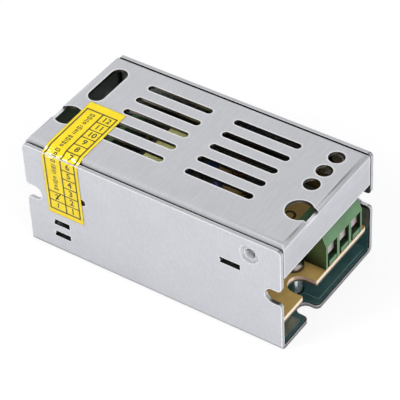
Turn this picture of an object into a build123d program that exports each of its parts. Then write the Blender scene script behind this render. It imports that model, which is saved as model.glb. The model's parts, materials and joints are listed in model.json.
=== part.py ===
from build123d import *

import math
import os

# Caged switching power supply with screw terminals at both ends.
# Frame: origin at the bottom centre of the case, +Z up, +X towards the output end,
# -Y towards the long wall that the seal label is stuck to. Millimetres throughout.

# Case
LENGTH = 70.0
WIDTH = 39.0
HEIGHT = 30.5
WALL_TOP = 29.8
CHASSIS_SHEET = 1.0
CHASSIS_BEND = 1.5
WALL_CORNER = 1.1
WALL_IN = WIDTH / 2 - CHASSIS_SHEET

# Open notches in the walls and slots in the floor, at both ends
NOTCH_Z = 16.0
NOTCH_WIDTH = 4.0
NOTCH_DEPTH = 4.3
NOTCH_MOUTH = 1.0
FLOOR_SLOT_Y = -6.2
FLOOR_SLOT_WIDTH = 4.0
FLOOR_SLOT_DEPTH = 4.2
FLOOR_SLOT_MOUTH = 1.3

# Strips pressed inwards from the walls, each beside a slit
STRIP_LENGTH = 4.5
STRIP_HEIGHT = 0.9
STRIP_SLIT = 0.7
STRIP_DEPTH = 0.9
STRIP_RAMP = 0.8
BOARD_STRIP_X = -25.5
LOWER_BOARD_STRIP_Z = 5.7
UPPER_BOARD_STRIP_Z = 9.3
COVER_STRIPS_X = (-23.4, 21.7)
COVER_STRIP_Z = 19.6
COVER_STRIP_LENGTH = 5.4

# Conical dimples that lock the cover
DIMPLE_X = 26.9
DIMPLE_Z = 25.5
DIMPLE_RADIUS = 2.4
DIMPLE_LEDGE_RADIUS = 2.0
DIMPLE_PIT_RADIUS = 1.45
DIMPLE_STEP = 0.4
DIMPLE_TIP_RADIUS = 0.5
DIMPLE_DEPTH = 1.5
DIMPLE_BULGE = 1.1

# Tapped M3 hole in the near wall
SIDE_HOLE_X = -18.7
SIDE_HOLE_Z = 19.3
SIDE_HOLE_RADIUS = 0.95
TAP_RADIUS = 1.25

# Cover
COVER_SHEET = 0.8
COVER_GAP = 0.3
COVER_LENGTH = 69.9
COVER_WIDTH = 2 * (WALL_IN - COVER_GAP)
COVER_SIDE_BEND = 1.6
COVER_END_BEND = 1.2
COVER_BOTTOM = 21.2
CORNER_SEAM = 0.5
VENT_LENGTH = 17.9
VENT_WIDTH = 1.9
VENT_PITCH = 4.97
VENT_ROWS = 5
VENT_MIDDLE_Y = 1.85
VENT_CENTRES_X = (-12.4, 11.65)
SCREW_HOLE_X = 29.25
SCREW_HOLE_Y = 7.75
SCREW_HOLE_PITCH = 5.3
SCREW_HOLE_RADIUS = 2.0
OBROUND_X = -30.05
OBROUND_Y = 7.5
OBROUND_SPAN = 8.8
OBROUND_RADIUS = 2.15
DRIVER_HOLE_X = 31.5
DRIVER_HOLE_RADIUS = 3.3
DRIVER_HOLE_FLOOR = 29.5
DRIVER_HOLE_EDGE_X = 33.8
DRIVER_HOLE_CHORD = 4.6

# Insulation film
FILM_SHEET = 0.25
FILM_GAP = 0.05
FILM_TOP = 13.2
FILM_LENGTH = 69.2

# Seal label
LABEL_X = -24.3
LABEL_WIDTH = 10.1
LABEL_SHEET = 0.12
LABEL_BOTTOM = 12.3
LABEL_END_Y = 0.4
LABEL_BEND = 0.7

# Circuit board
BOARD_LENGTH = 68.4
BOARD_WIDTH = 36.0
BOARD_SHEET = 1.6
BOARD_BOTTOM = 6.7
BOARD_TOP = BOARD_BOTTOM + BOARD_SHEET
BOARD_NOTCH_Y = -6.55
BOARD_NOTCH_WIDTH = 5.7
BOARD_NOTCH_DEPTH = 5.5
BOARD_CORNER = 0.5

# Stand-off under the board and its screw
STANDOFF_X = 27.2
STANDOFF_Y = -2.1
STANDOFF_RADIUS = 2.1
STANDOFF_SPIGOT = 1.7
BOARD_SCREW_HEAD = 2.35
BOARD_SCREW_HEAD_HEIGHT = 1.8
BOARD_SCREW_LENGTH = 5.0
THREAD_CORE = 1.2

# Screw terminals, in their own frame: front face at x = 0, base at z = 0
TERMINAL_POLES = 3
TERMINAL_PITCH = 5.08
TERMINAL_END_WALL = 0.6
CELL_WIDTH = 4.1
TERMINAL_WIDTH = (TERMINAL_POLES - 1) * TERMINAL_PITCH + CELL_WIDTH + 2 * TERMINAL_END_WALL
TERMINAL_DEPTH = 8.0
TERMINAL_HEIGHT = 10.8
TERMINAL_BEND_HEIGHT = 6.8
TERMINAL_SLOPE = 1.65
TERMINAL_SCREW_X = -4.5
CELL_BACK = -6.6
CELL_FRONT = -0.6
CELL_TOP = 7.6
WINDOW_TOP = 6.6
LEDGE_HEIGHT = 1.6
LEDGE_BACK = -2.3
LEDGE_GAP = 0.9
OUTPUT_FRONT_X = 34.2
OUTPUT_Y = 8.3
INPUT_FRONT_X = -34.0
INPUT_Y = 7.5

# Cage clamp and its M3 screw
CAGE_BACK = -6.4
CAGE_FRONT = -2.6
CAGE_WIDTH = 3.7
CAGE_WALL = 0.45
CAGE_BOTTOM = 0.9
CAGE_BAR = 0.8
CAGE_OPENING_TOP = 4.45
CAGE_TOP = 5.4
LIP_FRONT = -0.7
LIP_SHEET = 0.4
LIP_WIDTH = 3.3
LIP_SHELF_TOP = 4.75
LIP_BOTTOM = 3.3
LIP_TOP = 5.75
THREAD_FIT_RADIUS = 1.40
CLAMP_SCREW_RADIUS = 1.35
CLAMP_SCREW_TIP = 4.6
CLAMP_SHOULDER = 9.2
CLAMP_HEAD_RADIUS = 1.75
CLAMP_HEAD_HEIGHT = 1.15
CLAMP_HEAD_GAP = 0.05
HEAD_BORE = 2.05
SHANK_BORE = 1.6
SLOT_WIDTH = 0.6
SLOT_DEPTH = 0.6

# Fixed busbar and solder pin of each pole
BAR_BACK = -7.3
BAR_FRONT = -2.9
BAR_WIDTH = 1.8
BAR_BOTTOM = 3.65
BAR_TOP = 4.25
PIN_WIDTH = 0.9
PIN_END = -3.0

# Component leads and their holes, both square in section
LEAD_WIDTH = 0.5
LEAD_HOLE = 0.8
LEAD_END = BOARD_BOTTOM - 1.2

# Transformer, lying with its coil axis along X
TRAFO_X = -9.2
TRAFO_Y = 2.9
TRAFO_Z = 17.3
COIL_LENGTH = 8.4
COIL_WIDTH = 12.4
COIL_HEIGHT = 13.0
CORE_BACK = 2.3
CORE_THICKNESS = 5.0
CORE_WIDTH = 17.0
CENTRE_LEG = 4.6
OUTER_LEG = 2.1
SPOOL_WALL = 0.6
SPOOL_FLANGE = 0.7
SPOOL_FLANGE_MARGIN = 0.5
TRAFO_PIN_PITCH = 2.6
TRAFO_PINS_A_SIDE = 5

# Standing capacitors: centre x, centre y, sleeve radius, height above the board
BULK_CAPACITOR = (-12.3, -12.2, 5.0, 16.5)
OUTPUT_CAPACITORS = ((3.1, -2.0, 4.2, 16.0), (13.2, -12.6, 4.2, 16.0))
SMALL_CAPACITOR = (20.5, -13.6, 2.5, 11.0)
SLEEVE_SHEET = 0.2
SLEEVE_RIM = 0.9

# Input filter choke: ring core standing upright, axis along X
CHOKE_X = -21.8
CHOKE_Y = -1.6
CHOKE_Z = BOARD_TOP + 6.3
CHOKE_OUTER = 4.8
CHOKE_INNER = 2.6
CHOKE_THICKNESS = 3.6
CHOKE_COIL = 0.9
CHOKE_COIL_ARC = 130.0

# Output filter choke: drum standing upright
DRUM_X = 20.4
DRUM_Y = -3.4
DRUM_RADIUS = 3.2
DRUM_HEIGHT = 8.5
DRUM_FLANGE = 1.2
DRUM_WAIST = 1.6

# Parts that lie along X: centre x, centre y, body length, body radius, height of axis, lead span
FUSE = (-23.6, -15.2, 7.6, 1.8, 2.1, 10.6)
OUTPUT_DIODE = (8.7, 13.2, 9.0, 2.4, 2.8, 11.6)
RESISTORS = (
    (-2.0, -15.6, 6.2, 1.1, 1.4, 9.0),
    (8.8, -7.2, 6.2, 1.1, 1.4, 8.4),
    (8.5, 5.6, 6.2, 1.1, 1.4, 9.0),
    (-9.6, 14.8, 8.2, 1.6, 1.9, 10.8),
)
SMALL_DIODES = (
    (2.4, 7.7, 4.4, 1.2, 1.5, 6.8),
    (8.5, 9.2, 4.4, 1.2, 1.5, 7.0),
)

# Standing discs: centre x, centre y, radius, thickness, height of centre, lead gap
THERMISTOR = (-21.5, 8.6, 3.6, 3.2, 5.0, 5.0)
SAFETY_CAPACITOR = (13.0, 2.4, 3.4, 3.0, 5.2, 5.0)
CLAMP_CAPACITOR = (0.8, 15.9, 2.6, 2.2, 4.2, 3.6)

# Chips: centre x, centre y, length, body width, height, legs a side, leg pitch
BRIDGE = (-20.4, 14.0, 8.4, 5.4, 3.3, 2, 5.1)
CONTROLLER = (-1.9, -10.6, 9.4, 6.2, 3.4, 4, 2.54)
OPTOCOUPLER = (6.2, -13.6, 4.6, 4.6, 3.5, 2, 2.54)

# Transistor-shaped voltage reference
REFERENCE_X = 15.6
REFERENCE_Y = -5.4
REFERENCE_RADIUS = 2.3
REFERENCE_HEIGHT = 4.6
REFERENCE_LIFT = 2.0


def block(x0, x1, y0, y1, z0, z1):
    """Box between two opposite corners."""
    return Pos((x0 + x1) / 2, (y0 + y1) / 2, (z0 + z1) / 2) * Box(x1 - x0, y1 - y0, z1 - z0)


def rod(x, y, z0, z1, radius):
    """Upright cylinder."""
    return Pos(x, y, (z0 + z1) / 2) * Cylinder(radius, z1 - z0)


def rod_x(x0, x1, y, z, radius):
    """Cylinder along X."""
    return Pos((x0 + x1) / 2, y, z) * Rot(0, 90, 0) * Cylinder(radius, x1 - x0)


def rod_y(x, y0, y1, z, radius):
    """Cylinder along Y."""
    return Pos(x, (y0 + y1) / 2, z) * Rot(90, 0, 0) * Cylinder(radius, y1 - y0)


def lead(x, y, top):
    """Upright lead from under the board to the given height."""
    half = LEAD_WIDTH / 2
    return block(x - half, x + half, y - half, y + half, LEAD_END, top)


def mirrored(shape):
    """The same shape on the other side of the long middle plane."""
    return mirror(shape, about=Plane.XZ)


def turned(points, x, y, z):
    """Solid of revolution about an upright axis, from (radius, height) points."""
    face = make_face(Polyline(*[(r, h) for r, h in points], close=True))
    return Pos(x, y, z) * revolve(Plane.XZ * face, Axis.Z)


def channel(width, height, sheet, bend, length, z0):
    """Folded U: a floor and two upright walls, open at both ends."""
    outer = block(-length / 2, length / 2, -width / 2, width / 2, z0, height)
    outer = fillet(outer.edges().filter_by(Axis.X).group_by(Axis.Z)[0], bend)
    half = width / 2 - sheet
    inner = block(-length / 2 - 1, length / 2 + 1, -half, half, z0 + sheet, height + 1)
    inner = fillet(inner.edges().filter_by(Axis.X).group_by(Axis.Z)[0], max(bend - sheet, 0.2))
    return outer - inner


def wall_outline():
    """Side view of the long walls: corners, and a U-notch at each end."""
    half = LENGTH / 2
    radius = NOTCH_WIDTH / 2
    outline = Pos(0, WALL_TOP / 2) * Rectangle(LENGTH, WALL_TOP)
    for end in (-1, 1):
        root = end * (half - NOTCH_DEPTH + radius)
        mouth = end * (half + 1)
        outline -= Pos(root, NOTCH_Z) * Circle(radius)
        outline -= Pos((root + mouth) / 2, NOTCH_Z) * Rectangle(abs(mouth - root), NOTCH_WIDTH)
    at_end = [v for v in outline.vertices() if abs(abs(v.X) - half) < 0.01]
    mouths = [v for v in at_end if 1 < v.Y < WALL_TOP - 1]
    outline = fillet(mouths, NOTCH_MOUTH)
    tops = [v for v in outline.vertices() if v.Y > WALL_TOP - 0.01]
    return fillet(tops, WALL_CORNER)


def end_slotted_plate(length, width, slot_y, slot_width, slot_depth, mouth_radius):
    """Plan view of a plate with one open slot in each short edge."""
    half = length / 2
    radius = slot_width / 2
    plate = Rectangle(length, width)
    for end in (-1, 1):
        root = end * (half - slot_depth + radius)
        mouth = end * (half + 1)
        plate -= Pos(root, slot_y) * Circle(radius)
        plate -= Pos((root + mouth) / 2, slot_y) * Rectangle(abs(mouth - root), slot_width)
    at_end = [v for v in plate.vertices() if abs(abs(v.X) - half) < 0.01]
    mouths = [v for v in at_end if abs(v.Y - slot_y) < slot_width / 2 + 0.01]
    return fillet(mouths, mouth_radius)


def pressed_strip(x, z, length):
    """Near wall: strip pressed inwards beside a slit, joined to the wall at both ends."""
    outer = -WIDTH / 2
    inner = -WALL_IN
    x0 = x - length / 2
    x1 = x + length / 2
    strip = Polygon(
        (x0, outer), (x0 + STRIP_RAMP, outer + STRIP_DEPTH),
        (x1 - STRIP_RAMP, outer + STRIP_DEPTH), (x1, outer), (x1, inner),
        (x1 - STRIP_RAMP, inner + STRIP_DEPTH), (x0 + STRIP_RAMP, inner + STRIP_DEPTH), (x0, inner),
        align=None,
    )
    return extrude(Plane.XY.offset(z) * strip, amount=STRIP_HEIGHT, dir=(0, 0, 1))


def strip_window(x, z, length, slit):
    """Near wall: the opening of a strip and its slit, which lies above (1) or below (-1) the strip."""
    z0 = min(z, z + slit * STRIP_SLIT)
    z1 = max(z, z + slit * STRIP_SLIT) + STRIP_HEIGHT
    return block(x - length / 2, x + length / 2, -WIDTH / 2 - 1, -WALL_IN + 0.01, z0, z1)


def dimple_frame():
    """Frame on the outside of the near wall, pointing inwards."""
    return Plane(origin=(DIMPLE_X, -WIDTH / 2, DIMPLE_Z), x_dir=(1, 0, 0), z_dir=(0, 1, 0))


def dimple_bulge():
    """Cone that the dimple raises on the inside of the wall."""
    base = (Align.CENTER, Align.CENTER, Align.MIN)
    cone = Cone(DIMPLE_RADIUS + 0.4, DIMPLE_PIT_RADIUS, DIMPLE_BULGE, align=base)
    return dimple_frame() * Pos(0, 0, CHASSIS_SHEET) * cone


def dimple_pit():
    """Conical pit in a shallow ring on the outside of the wall."""
    base = (Align.CENTER, Align.CENTER, Align.MIN)
    rim = Cone(DIMPLE_RADIUS, DIMPLE_LEDGE_RADIUS, DIMPLE_STEP, align=base)
    pit = Cone(DIMPLE_PIT_RADIUS, DIMPLE_TIP_RADIUS, DIMPLE_DEPTH - DIMPLE_STEP, align=base)
    return dimple_frame() * (rim + Pos(0, 0, DIMPLE_STEP) * pit)


def strip_places():
    """Every pressed strip of one wall: x, z, length and the side of its slit."""
    places = [(BOARD_STRIP_X, z, STRIP_LENGTH, -1) for z in (LOWER_BOARD_STRIP_Z, UPPER_BOARD_STRIP_Z)]
    places += [(x, COVER_STRIP_Z, COVER_STRIP_LENGTH, 1) for x in COVER_STRIPS_X]
    return places


def make_chassis():
    """Floor and two long walls, folded from one sheet."""
    body = channel(WIDTH, WALL_TOP, CHASSIS_SHEET, CHASSIS_BEND, LENGTH, 0)
    body &= extrude(Plane.XZ * wall_outline(), amount=WIDTH, both=True)
    floor = end_slotted_plate(
        LENGTH, WIDTH, FLOOR_SLOT_Y, FLOOR_SLOT_WIDTH, FLOOR_SLOT_DEPTH, FLOOR_SLOT_MOUTH
    )
    body &= extrude(floor, amount=HEIGHT)
    for x, z, length, slit in strip_places():
        window = strip_window(x, z, length, slit)
        body -= window + mirrored(window)
    for x, z, length, _ in strip_places():
        strip = pressed_strip(x, z, length)
        body += strip
        body += mirrored(strip)
    body += dimple_bulge()
    body += mirrored(dimple_bulge())
    body -= dimple_pit()
    body -= mirrored(dimple_pit())
    body -= rod_y(SIDE_HOLE_X, -WIDTH / 2 - 1, -WALL_IN + 1, SIDE_HOLE_Z, SIDE_HOLE_RADIUS)
    body -= rod(STANDOFF_X, STANDOFF_Y, -1, CHASSIS_SHEET + 1, STANDOFF_SPIGOT)
    return body


def folded_cap(length, width, top, side_bend, end_bend):
    """Solid with rounded upper edges, the outside or the inside of the folded cover."""
    height = top - COVER_BOTTOM
    cross = Pos(0, COVER_BOTTOM + height / 2) * Rectangle(width, height)
    cross = fillet([v for v in cross.vertices() if v.Y > top - 0.01], side_bend)
    along = Pos(0, COVER_BOTTOM + height / 2) * Rectangle(length, height)
    along = fillet([v for v in along.vertices() if v.Y > top - 0.01], end_bend)
    body = extrude(Plane.YZ * cross, amount=length / 2, both=True)
    return body & extrude(Plane.XZ * along, amount=width / 2, both=True)


def vent_slots():
    """Two groups of five vents."""
    slots = []
    for x in VENT_CENTRES_X:
        for row in range(VENT_ROWS):
            y = VENT_MIDDLE_Y + (row - (VENT_ROWS - 1) / 2) * VENT_PITCH
            slots.append(Pos(x, y) * SlotOverall(VENT_LENGTH, VENT_WIDTH))
    return slots


def terminal_openings():
    """Three screwdriver holes over the output poles and one long opening over the input poles."""
    holes = []
    for pole in (-1, 0, 1):
        y = SCREW_HOLE_Y + pole * SCREW_HOLE_PITCH
        holes.append(Pos(SCREW_HOLE_X, y) * Circle(SCREW_HOLE_RADIUS))
    obround = SlotCenterToCenter(OBROUND_SPAN, 2 * OBROUND_RADIUS, rotation=90)
    return holes + [Pos(OBROUND_X, OBROUND_Y) * obround]


def driver_hole(end):
    """Round screwdriver hole that runs out through the end bend."""
    x0, x1 = sorted((end * DRIVER_HOLE_EDGE_X, end * (LENGTH / 2 + 1)))
    half = DRIVER_HOLE_CHORD / 2
    hole = rod(end * DRIVER_HOLE_X, FLOOR_SLOT_Y, DRIVER_HOLE_FLOOR, HEIGHT + 1, DRIVER_HOLE_RADIUS)
    return hole + block(x0, x1, FLOOR_SLOT_Y - half, FLOOR_SLOT_Y + half, DRIVER_HOLE_FLOOR, HEIGHT + 1)


def make_cover():
    """Top, side flanges and end flanges, folded from one sheet."""
    t = COVER_SHEET
    body = folded_cap(COVER_LENGTH, COVER_WIDTH, HEIGHT, COVER_SIDE_BEND, COVER_END_BEND)
    inside = folded_cap(
        COVER_LENGTH - 2 * t, COVER_WIDTH - 2 * t, HEIGHT - t, COVER_SIDE_BEND - t, COVER_END_BEND - t
    )
    body -= inside
    for opening in vent_slots() + terminal_openings():
        body -= extrude(Plane.XY.offset(HEIGHT - 3) * opening, amount=5)
    for end in (-1, 1):
        body -= driver_hole(end)
        seam_out = end * (COVER_LENGTH / 2 - t)
        seam_in = end * (COVER_LENGTH / 2 - t - CORNER_SEAM)
        for side in (-1, 1):
            y0, y1 = sorted((side * (COVER_WIDTH / 2 - t - 0.5), side * (COVER_WIDTH / 2 + 1)))
            body -= block(min(seam_in, seam_out), max(seam_in, seam_out), y0, y1,
                          COVER_BOTTOM - 1, HEIGHT - COVER_SIDE_BEND)
    lock = rod_y(DIMPLE_X, -WIDTH / 2, -WALL_IN + COVER_GAP + 2 * t, DIMPLE_Z, DIMPLE_RADIUS + 0.5)
    body -= lock
    body -= mirrored(lock)
    return body


def make_insulation_film():
    """Film tray between the chassis and the board."""
    width = 2 * (WALL_IN - FILM_GAP)
    film = channel(width, FILM_TOP, FILM_SHEET, 0.7, FILM_LENGTH, CHASSIS_SHEET + FILM_GAP)
    plan = end_slotted_plate(
        FILM_LENGTH, width, FLOOR_SLOT_Y, FLOOR_SLOT_WIDTH + 0.4, FLOOR_SLOT_DEPTH, FLOOR_SLOT_MOUTH
    )
    film &= extrude(plan, amount=FILM_TOP)
    film -= rod(STANDOFF_X, STANDOFF_Y, 0, CHASSIS_SHEET + 1, STANDOFF_RADIUS + 0.3)
    low = LOWER_BOARD_STRIP_Z - STRIP_SLIT
    high = UPPER_BOARD_STRIP_Z + STRIP_HEIGHT + 0.3
    reach = STRIP_LENGTH / 2 + 0.3
    return film - block(BOARD_STRIP_X - reach, BOARD_STRIP_X + reach, -WIDTH / 2, WIDTH / 2, low, high)


def make_seal_label():
    """Label stuck to the near wall and folded over the edge onto the cover."""
    wall = -WIDTH / 2
    bend_y = wall + LABEL_BEND
    bend_z = HEIGHT - LABEL_BEND
    section = Pos(wall - LABEL_SHEET / 2, (LABEL_BOTTOM + bend_z) / 2) * Rectangle(
        LABEL_SHEET, bend_z - LABEL_BOTTOM
    )
    section += Pos((bend_y + LABEL_END_Y) / 2, HEIGHT + LABEL_SHEET / 2) * Rectangle(
        LABEL_END_Y - bend_y, LABEL_SHEET
    )
    ring = Circle(LABEL_BEND + LABEL_SHEET) - Circle(LABEL_BEND)
    reach = LABEL_BEND + LABEL_SHEET
    quarter = ring & (Pos(-reach / 2, reach / 2) * Rectangle(reach, reach))
    section += Pos(bend_y, bend_z) * quarter
    strip = extrude(Plane.YZ * section, amount=LABEL_WIDTH / 2, both=True)
    return Pos(LABEL_X, 0, 0) * strip


def capacitor_lead_places(place):
    """Two leads of a standing capacitor, side by side along Y."""
    x, y, radius, _ = place
    return [(x, y - radius / 2), (x, y + radius / 2)]


def all_capacitors():
    """Every standing capacitor."""
    return [BULK_CAPACITOR, *OUTPUT_CAPACITORS, SMALL_CAPACITOR]


def transformer_pin_places():
    """Two rows of pins under the transformer."""
    reach = COIL_LENGTH / 2 + SPOOL_FLANGE + CORE_BACK / 2
    middle = (TRAFO_PINS_A_SIDE - 1) / 2
    return [
        (TRAFO_X + side * reach, TRAFO_Y + (pin - middle) * TRAFO_PIN_PITCH)
        for side in (-1, 1)
        for pin in range(TRAFO_PINS_A_SIDE)
    ]


def make_circuit_board():
    """Board with screwdriver notches at both ends and a hole for every lead."""
    plan = end_slotted_plate(
        BOARD_LENGTH, BOARD_WIDTH, BOARD_NOTCH_Y, BOARD_NOTCH_WIDTH, BOARD_NOTCH_DEPTH, 0.3
    )
    corners = [v for v in plan.vertices() if abs(v.Y) > BOARD_WIDTH / 2 - 0.01]
    plan = fillet(corners, BOARD_CORNER)
    for x, y in lead_places():
        plan -= Pos(x, y) * Rectangle(LEAD_HOLE, LEAD_HOLE)
    plan -= Pos(STANDOFF_X, STANDOFF_Y) * Circle(STANDOFF_SPIGOT)
    for front, y, way in ((OUTPUT_FRONT_X, OUTPUT_Y, 1), (INPUT_FRONT_X, INPUT_Y, -1)):
        for offset in pole_offsets():
            x = front + way * (BAR_BACK + 0.3)
            plan -= Pos(x, y + offset) * Rectangle(0.9, PIN_WIDTH + 0.3)
    return extrude(Plane.XY.offset(BOARD_BOTTOM) * plan, amount=BOARD_SHEET)


def make_board_standoff():
    """Round stand-off riveted into the floor, tapped M3 right through."""
    top = BOARD_BOTTOM - 0.02
    body = rod(STANDOFF_X, STANDOFF_Y, CHASSIS_SHEET, top, STANDOFF_RADIUS)
    body = chamfer(body.edges().group_by(Axis.Z)[-1], 0.3)
    body += rod(STANDOFF_X, STANDOFF_Y, 0.1, CHASSIS_SHEET, STANDOFF_SPIGOT - 0.03)
    return body - rod(STANDOFF_X, STANDOFF_Y, -1, top + 1, TAP_RADIUS)


def make_board_screw():
    """Pan-head screw with a cross recess."""
    top = BOARD_TOP + BOARD_SCREW_HEAD_HEIGHT
    head = rod(STANDOFF_X, STANDOFF_Y, BOARD_TOP + 0.02, top, BOARD_SCREW_HEAD)
    head = fillet(head.edges().group_by(Axis.Z)[-1], 1.1)
    shank = rod(STANDOFF_X, STANDOFF_Y, BOARD_TOP - BOARD_SCREW_LENGTH, BOARD_TOP + 0.1, THREAD_CORE)
    body = head + shank
    for turn in (0, 90):
        wing = Pos(STANDOFF_X, STANDOFF_Y, top - 0.4) * Rot(0, 0, 30 + turn) * Box(2.8, 0.6, 1.6)
        body -= wing
    return body


def pole_offsets():
    """Places of the poles across a terminal block."""
    middle = (TERMINAL_POLES - 1) / 2
    return [(pole - middle) * TERMINAL_PITCH for pole in range(TERMINAL_POLES)]


def terminal_housing():
    """Moulded block with a wire bay, a clamp chamber and a screw well for each pole."""
    profile = Polygon(
        (0, 0), (0, TERMINAL_BEND_HEIGHT), (-TERMINAL_SLOPE, TERMINAL_HEIGHT),
        (-TERMINAL_DEPTH, TERMINAL_HEIGHT), (-TERMINAL_DEPTH, 0),
        align=None,
    )
    body = extrude(Plane.XZ * profile, amount=TERMINAL_WIDTH / 2, both=True)
    half = CELL_WIDTH / 2
    for y in pole_offsets():
        body -= block(CELL_BACK, CELL_FRONT, y - half, y + half, -1, CELL_TOP)
        body -= block(CELL_FRONT - 0.1, 1, y - half, y + half, -1, WINDOW_TOP)
        body -= block(BAR_BACK - 0.05, CELL_BACK + 0.1, y - 0.95, y + 0.95, -1, BAR_TOP + 0.1)
        body -= rod(TERMINAL_SCREW_X, y, CLAMP_SHOULDER, TERMINAL_HEIGHT + 1, HEAD_BORE)
        body -= rod(TERMINAL_SCREW_X, y, CELL_TOP - 0.1, CLAMP_SHOULDER + 0.1, SHANK_BORE)
        body += block(LEDGE_BACK, -0.1, y - half + LEDGE_GAP, y + half + 0.05, 0, LEDGE_HEIGHT)
    return body


def terminal_pins():
    """Busbar and solder pin of each pole, a list of separate solids."""
    pins = []
    half = BAR_WIDTH / 2
    for y in pole_offsets():
        bar = block(BAR_BACK, BAR_FRONT, y - half, y + half, BAR_BOTTOM, BAR_TOP)
        bar += block(BAR_BACK, BAR_BACK + 0.6, y - half, y + half, 0.02, BAR_TOP)
        bar += block(BAR_BACK, BAR_BACK + 0.6, y - PIN_WIDTH / 2, y + PIN_WIDTH / 2, PIN_END, 0.1)
        pins.append(bar)
    return pins


def cage_clamp():
    """Cage that the screw draws up, with a lip that guides the wire into it."""
    half = CAGE_WIDTH / 2
    body = block(CAGE_BACK, CAGE_FRONT, -half, half, CAGE_BOTTOM, CAGE_TOP)
    inner = half - CAGE_WALL
    body -= block(CAGE_BACK - 1, CAGE_FRONT + 1, -inner, inner, CAGE_BOTTOM + CAGE_BAR, CAGE_OPENING_TOP)
    width = LIP_WIDTH / 2
    body += block(CAGE_FRONT - 0.4, LIP_FRONT, -width, width, CAGE_OPENING_TOP, LIP_SHELF_TOP)
    body += block(LIP_FRONT - LIP_SHEET, LIP_FRONT, -width, width, LIP_BOTTOM, LIP_TOP)
    return body - rod(TERMINAL_SCREW_X, 0, CAGE_OPENING_TOP - 1, CAGE_TOP + 1, THREAD_FIT_RADIUS)


def clamp_screw():
    """Captive screw with a slotted cheese head."""
    seat = CLAMP_SHOULDER + CLAMP_HEAD_GAP
    top = seat + CLAMP_HEAD_HEIGHT
    head = rod(TERMINAL_SCREW_X, 0, seat, top, CLAMP_HEAD_RADIUS)
    head = chamfer(head.edges().group_by(Axis.Z)[-1], 0.2)
    body = head + rod(TERMINAL_SCREW_X, 0, CLAMP_SCREW_TIP, seat + 0.1, CLAMP_SCREW_RADIUS)
    body -= Pos(TERMINAL_SCREW_X, 0, top) * Box(4, SLOT_WIDTH, 2 * SLOT_DEPTH)
    return body


def place_output(shape, offset=0.0):
    """Carries a terminal piece to the output end."""
    return Pos(OUTPUT_FRONT_X, OUTPUT_Y + offset, BOARD_TOP) * shape


def place_input(shape, offset=0.0):
    """Carries a terminal piece to the input end, turned to face outwards."""
    return Pos(INPUT_FRONT_X, INPUT_Y + offset, BOARD_TOP) * Rot(0, 0, 180) * shape


def core_half(side):
    """One E of the ferrite core, opening towards the middle."""
    reach = COIL_LENGTH / 2 + SPOOL_FLANGE + 0.1
    z0 = TRAFO_Z - CORE_THICKNESS / 2
    z1 = TRAFO_Z + CORE_THICKNESS / 2
    half = CORE_WIDTH / 2
    x_in, x_out = sorted((side * reach, side * (reach + CORE_BACK)))
    x_mid, x_leg = sorted((side * 0.03, side * (reach + 0.1)))
    body = block(x_in, x_out, -half, half, z0, z1)
    body += block(x_mid, x_leg, -CENTRE_LEG / 2, CENTRE_LEG / 2, z0, z1)
    body += block(x_mid, x_leg, -half, -half + OUTER_LEG, z0, z1)
    body += block(x_mid, x_leg, half - OUTER_LEG, half, z0, z1)
    return Pos(TRAFO_X, TRAFO_Y, 0) * body


def make_transformer_core():
    """Two ferrite halves that meet inside the coil."""
    return Compound(children=[core_half(-1), core_half(1)])


def spool_outline(width, height, radius):
    """Rounded rectangle across the coil axis."""
    return Plane.YZ * (Pos(0, TRAFO_Z) * RectangleRounded(width, height, radius))


def make_transformer_bobbin():
    """Spool with two flanges and two pin rails."""
    leg_width = CENTRE_LEG + 0.2
    leg_height = CORE_THICKNESS + 0.2
    tube_width = leg_width + 2 * SPOOL_WALL
    tube_height = leg_height + 2 * SPOOL_WALL
    flange_width = COIL_WIDTH + 2 * SPOOL_FLANGE_MARGIN - 1.0
    flange_height = COIL_HEIGHT + 2 * SPOOL_FLANGE_MARGIN
    body = extrude(spool_outline(tube_width, tube_height, 0.4), amount=COIL_LENGTH / 2 + 0.1, both=True)
    for side in (-1, 1):
        flange = extrude(spool_outline(flange_width, flange_height, 1.0), amount=SPOOL_FLANGE / 2, both=True)
        body += Pos(side * (COIL_LENGTH + SPOOL_FLANGE) / 2, 0, 0) * flange
        x0, x1 = sorted((side * COIL_LENGTH / 2, side * (COIL_LENGTH / 2 + SPOOL_FLANGE + CORE_BACK)))
        rail_half = TRAFO_PINS_A_SIDE * TRAFO_PIN_PITCH / 2
        body += block(x0, x1, -rail_half, rail_half, BOARD_TOP + 0.4, TRAFO_Z - CORE_THICKNESS / 2 - 0.1)
    through = COIL_LENGTH / 2 + SPOOL_FLANGE + 1
    body -= block(-through, through, -leg_width / 2, leg_width / 2,
                  TRAFO_Z - leg_height / 2, TRAFO_Z + leg_height / 2)
    body = Pos(TRAFO_X, TRAFO_Y, 0) * body
    for x, y in transformer_pin_places():
        body += lead(x, y, BOARD_TOP + 1)
    return body


def make_transformer_winding():
    """Windings under their wrap of tape, one closed coil round the spool."""
    outer = spool_outline(COIL_WIDTH, COIL_HEIGHT, 2.6)
    hole_width = CENTRE_LEG + 0.2 + 2 * SPOOL_WALL + 0.04
    hole_height = CORE_THICKNESS + 0.2 + 2 * SPOOL_WALL + 0.04
    body = extrude(outer, amount=COIL_LENGTH / 2 - 0.05, both=True)
    body -= extrude(spool_outline(hole_width, hole_height, 0.4), amount=COIL_LENGTH, both=True)
    notch = CORE_WIDTH / 2 - OUTER_LEG - 0.1
    body &= block(-COIL_LENGTH, COIL_LENGTH, -notch, notch, 0, HEIGHT)
    return Pos(TRAFO_X, TRAFO_Y, 0) * body


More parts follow.
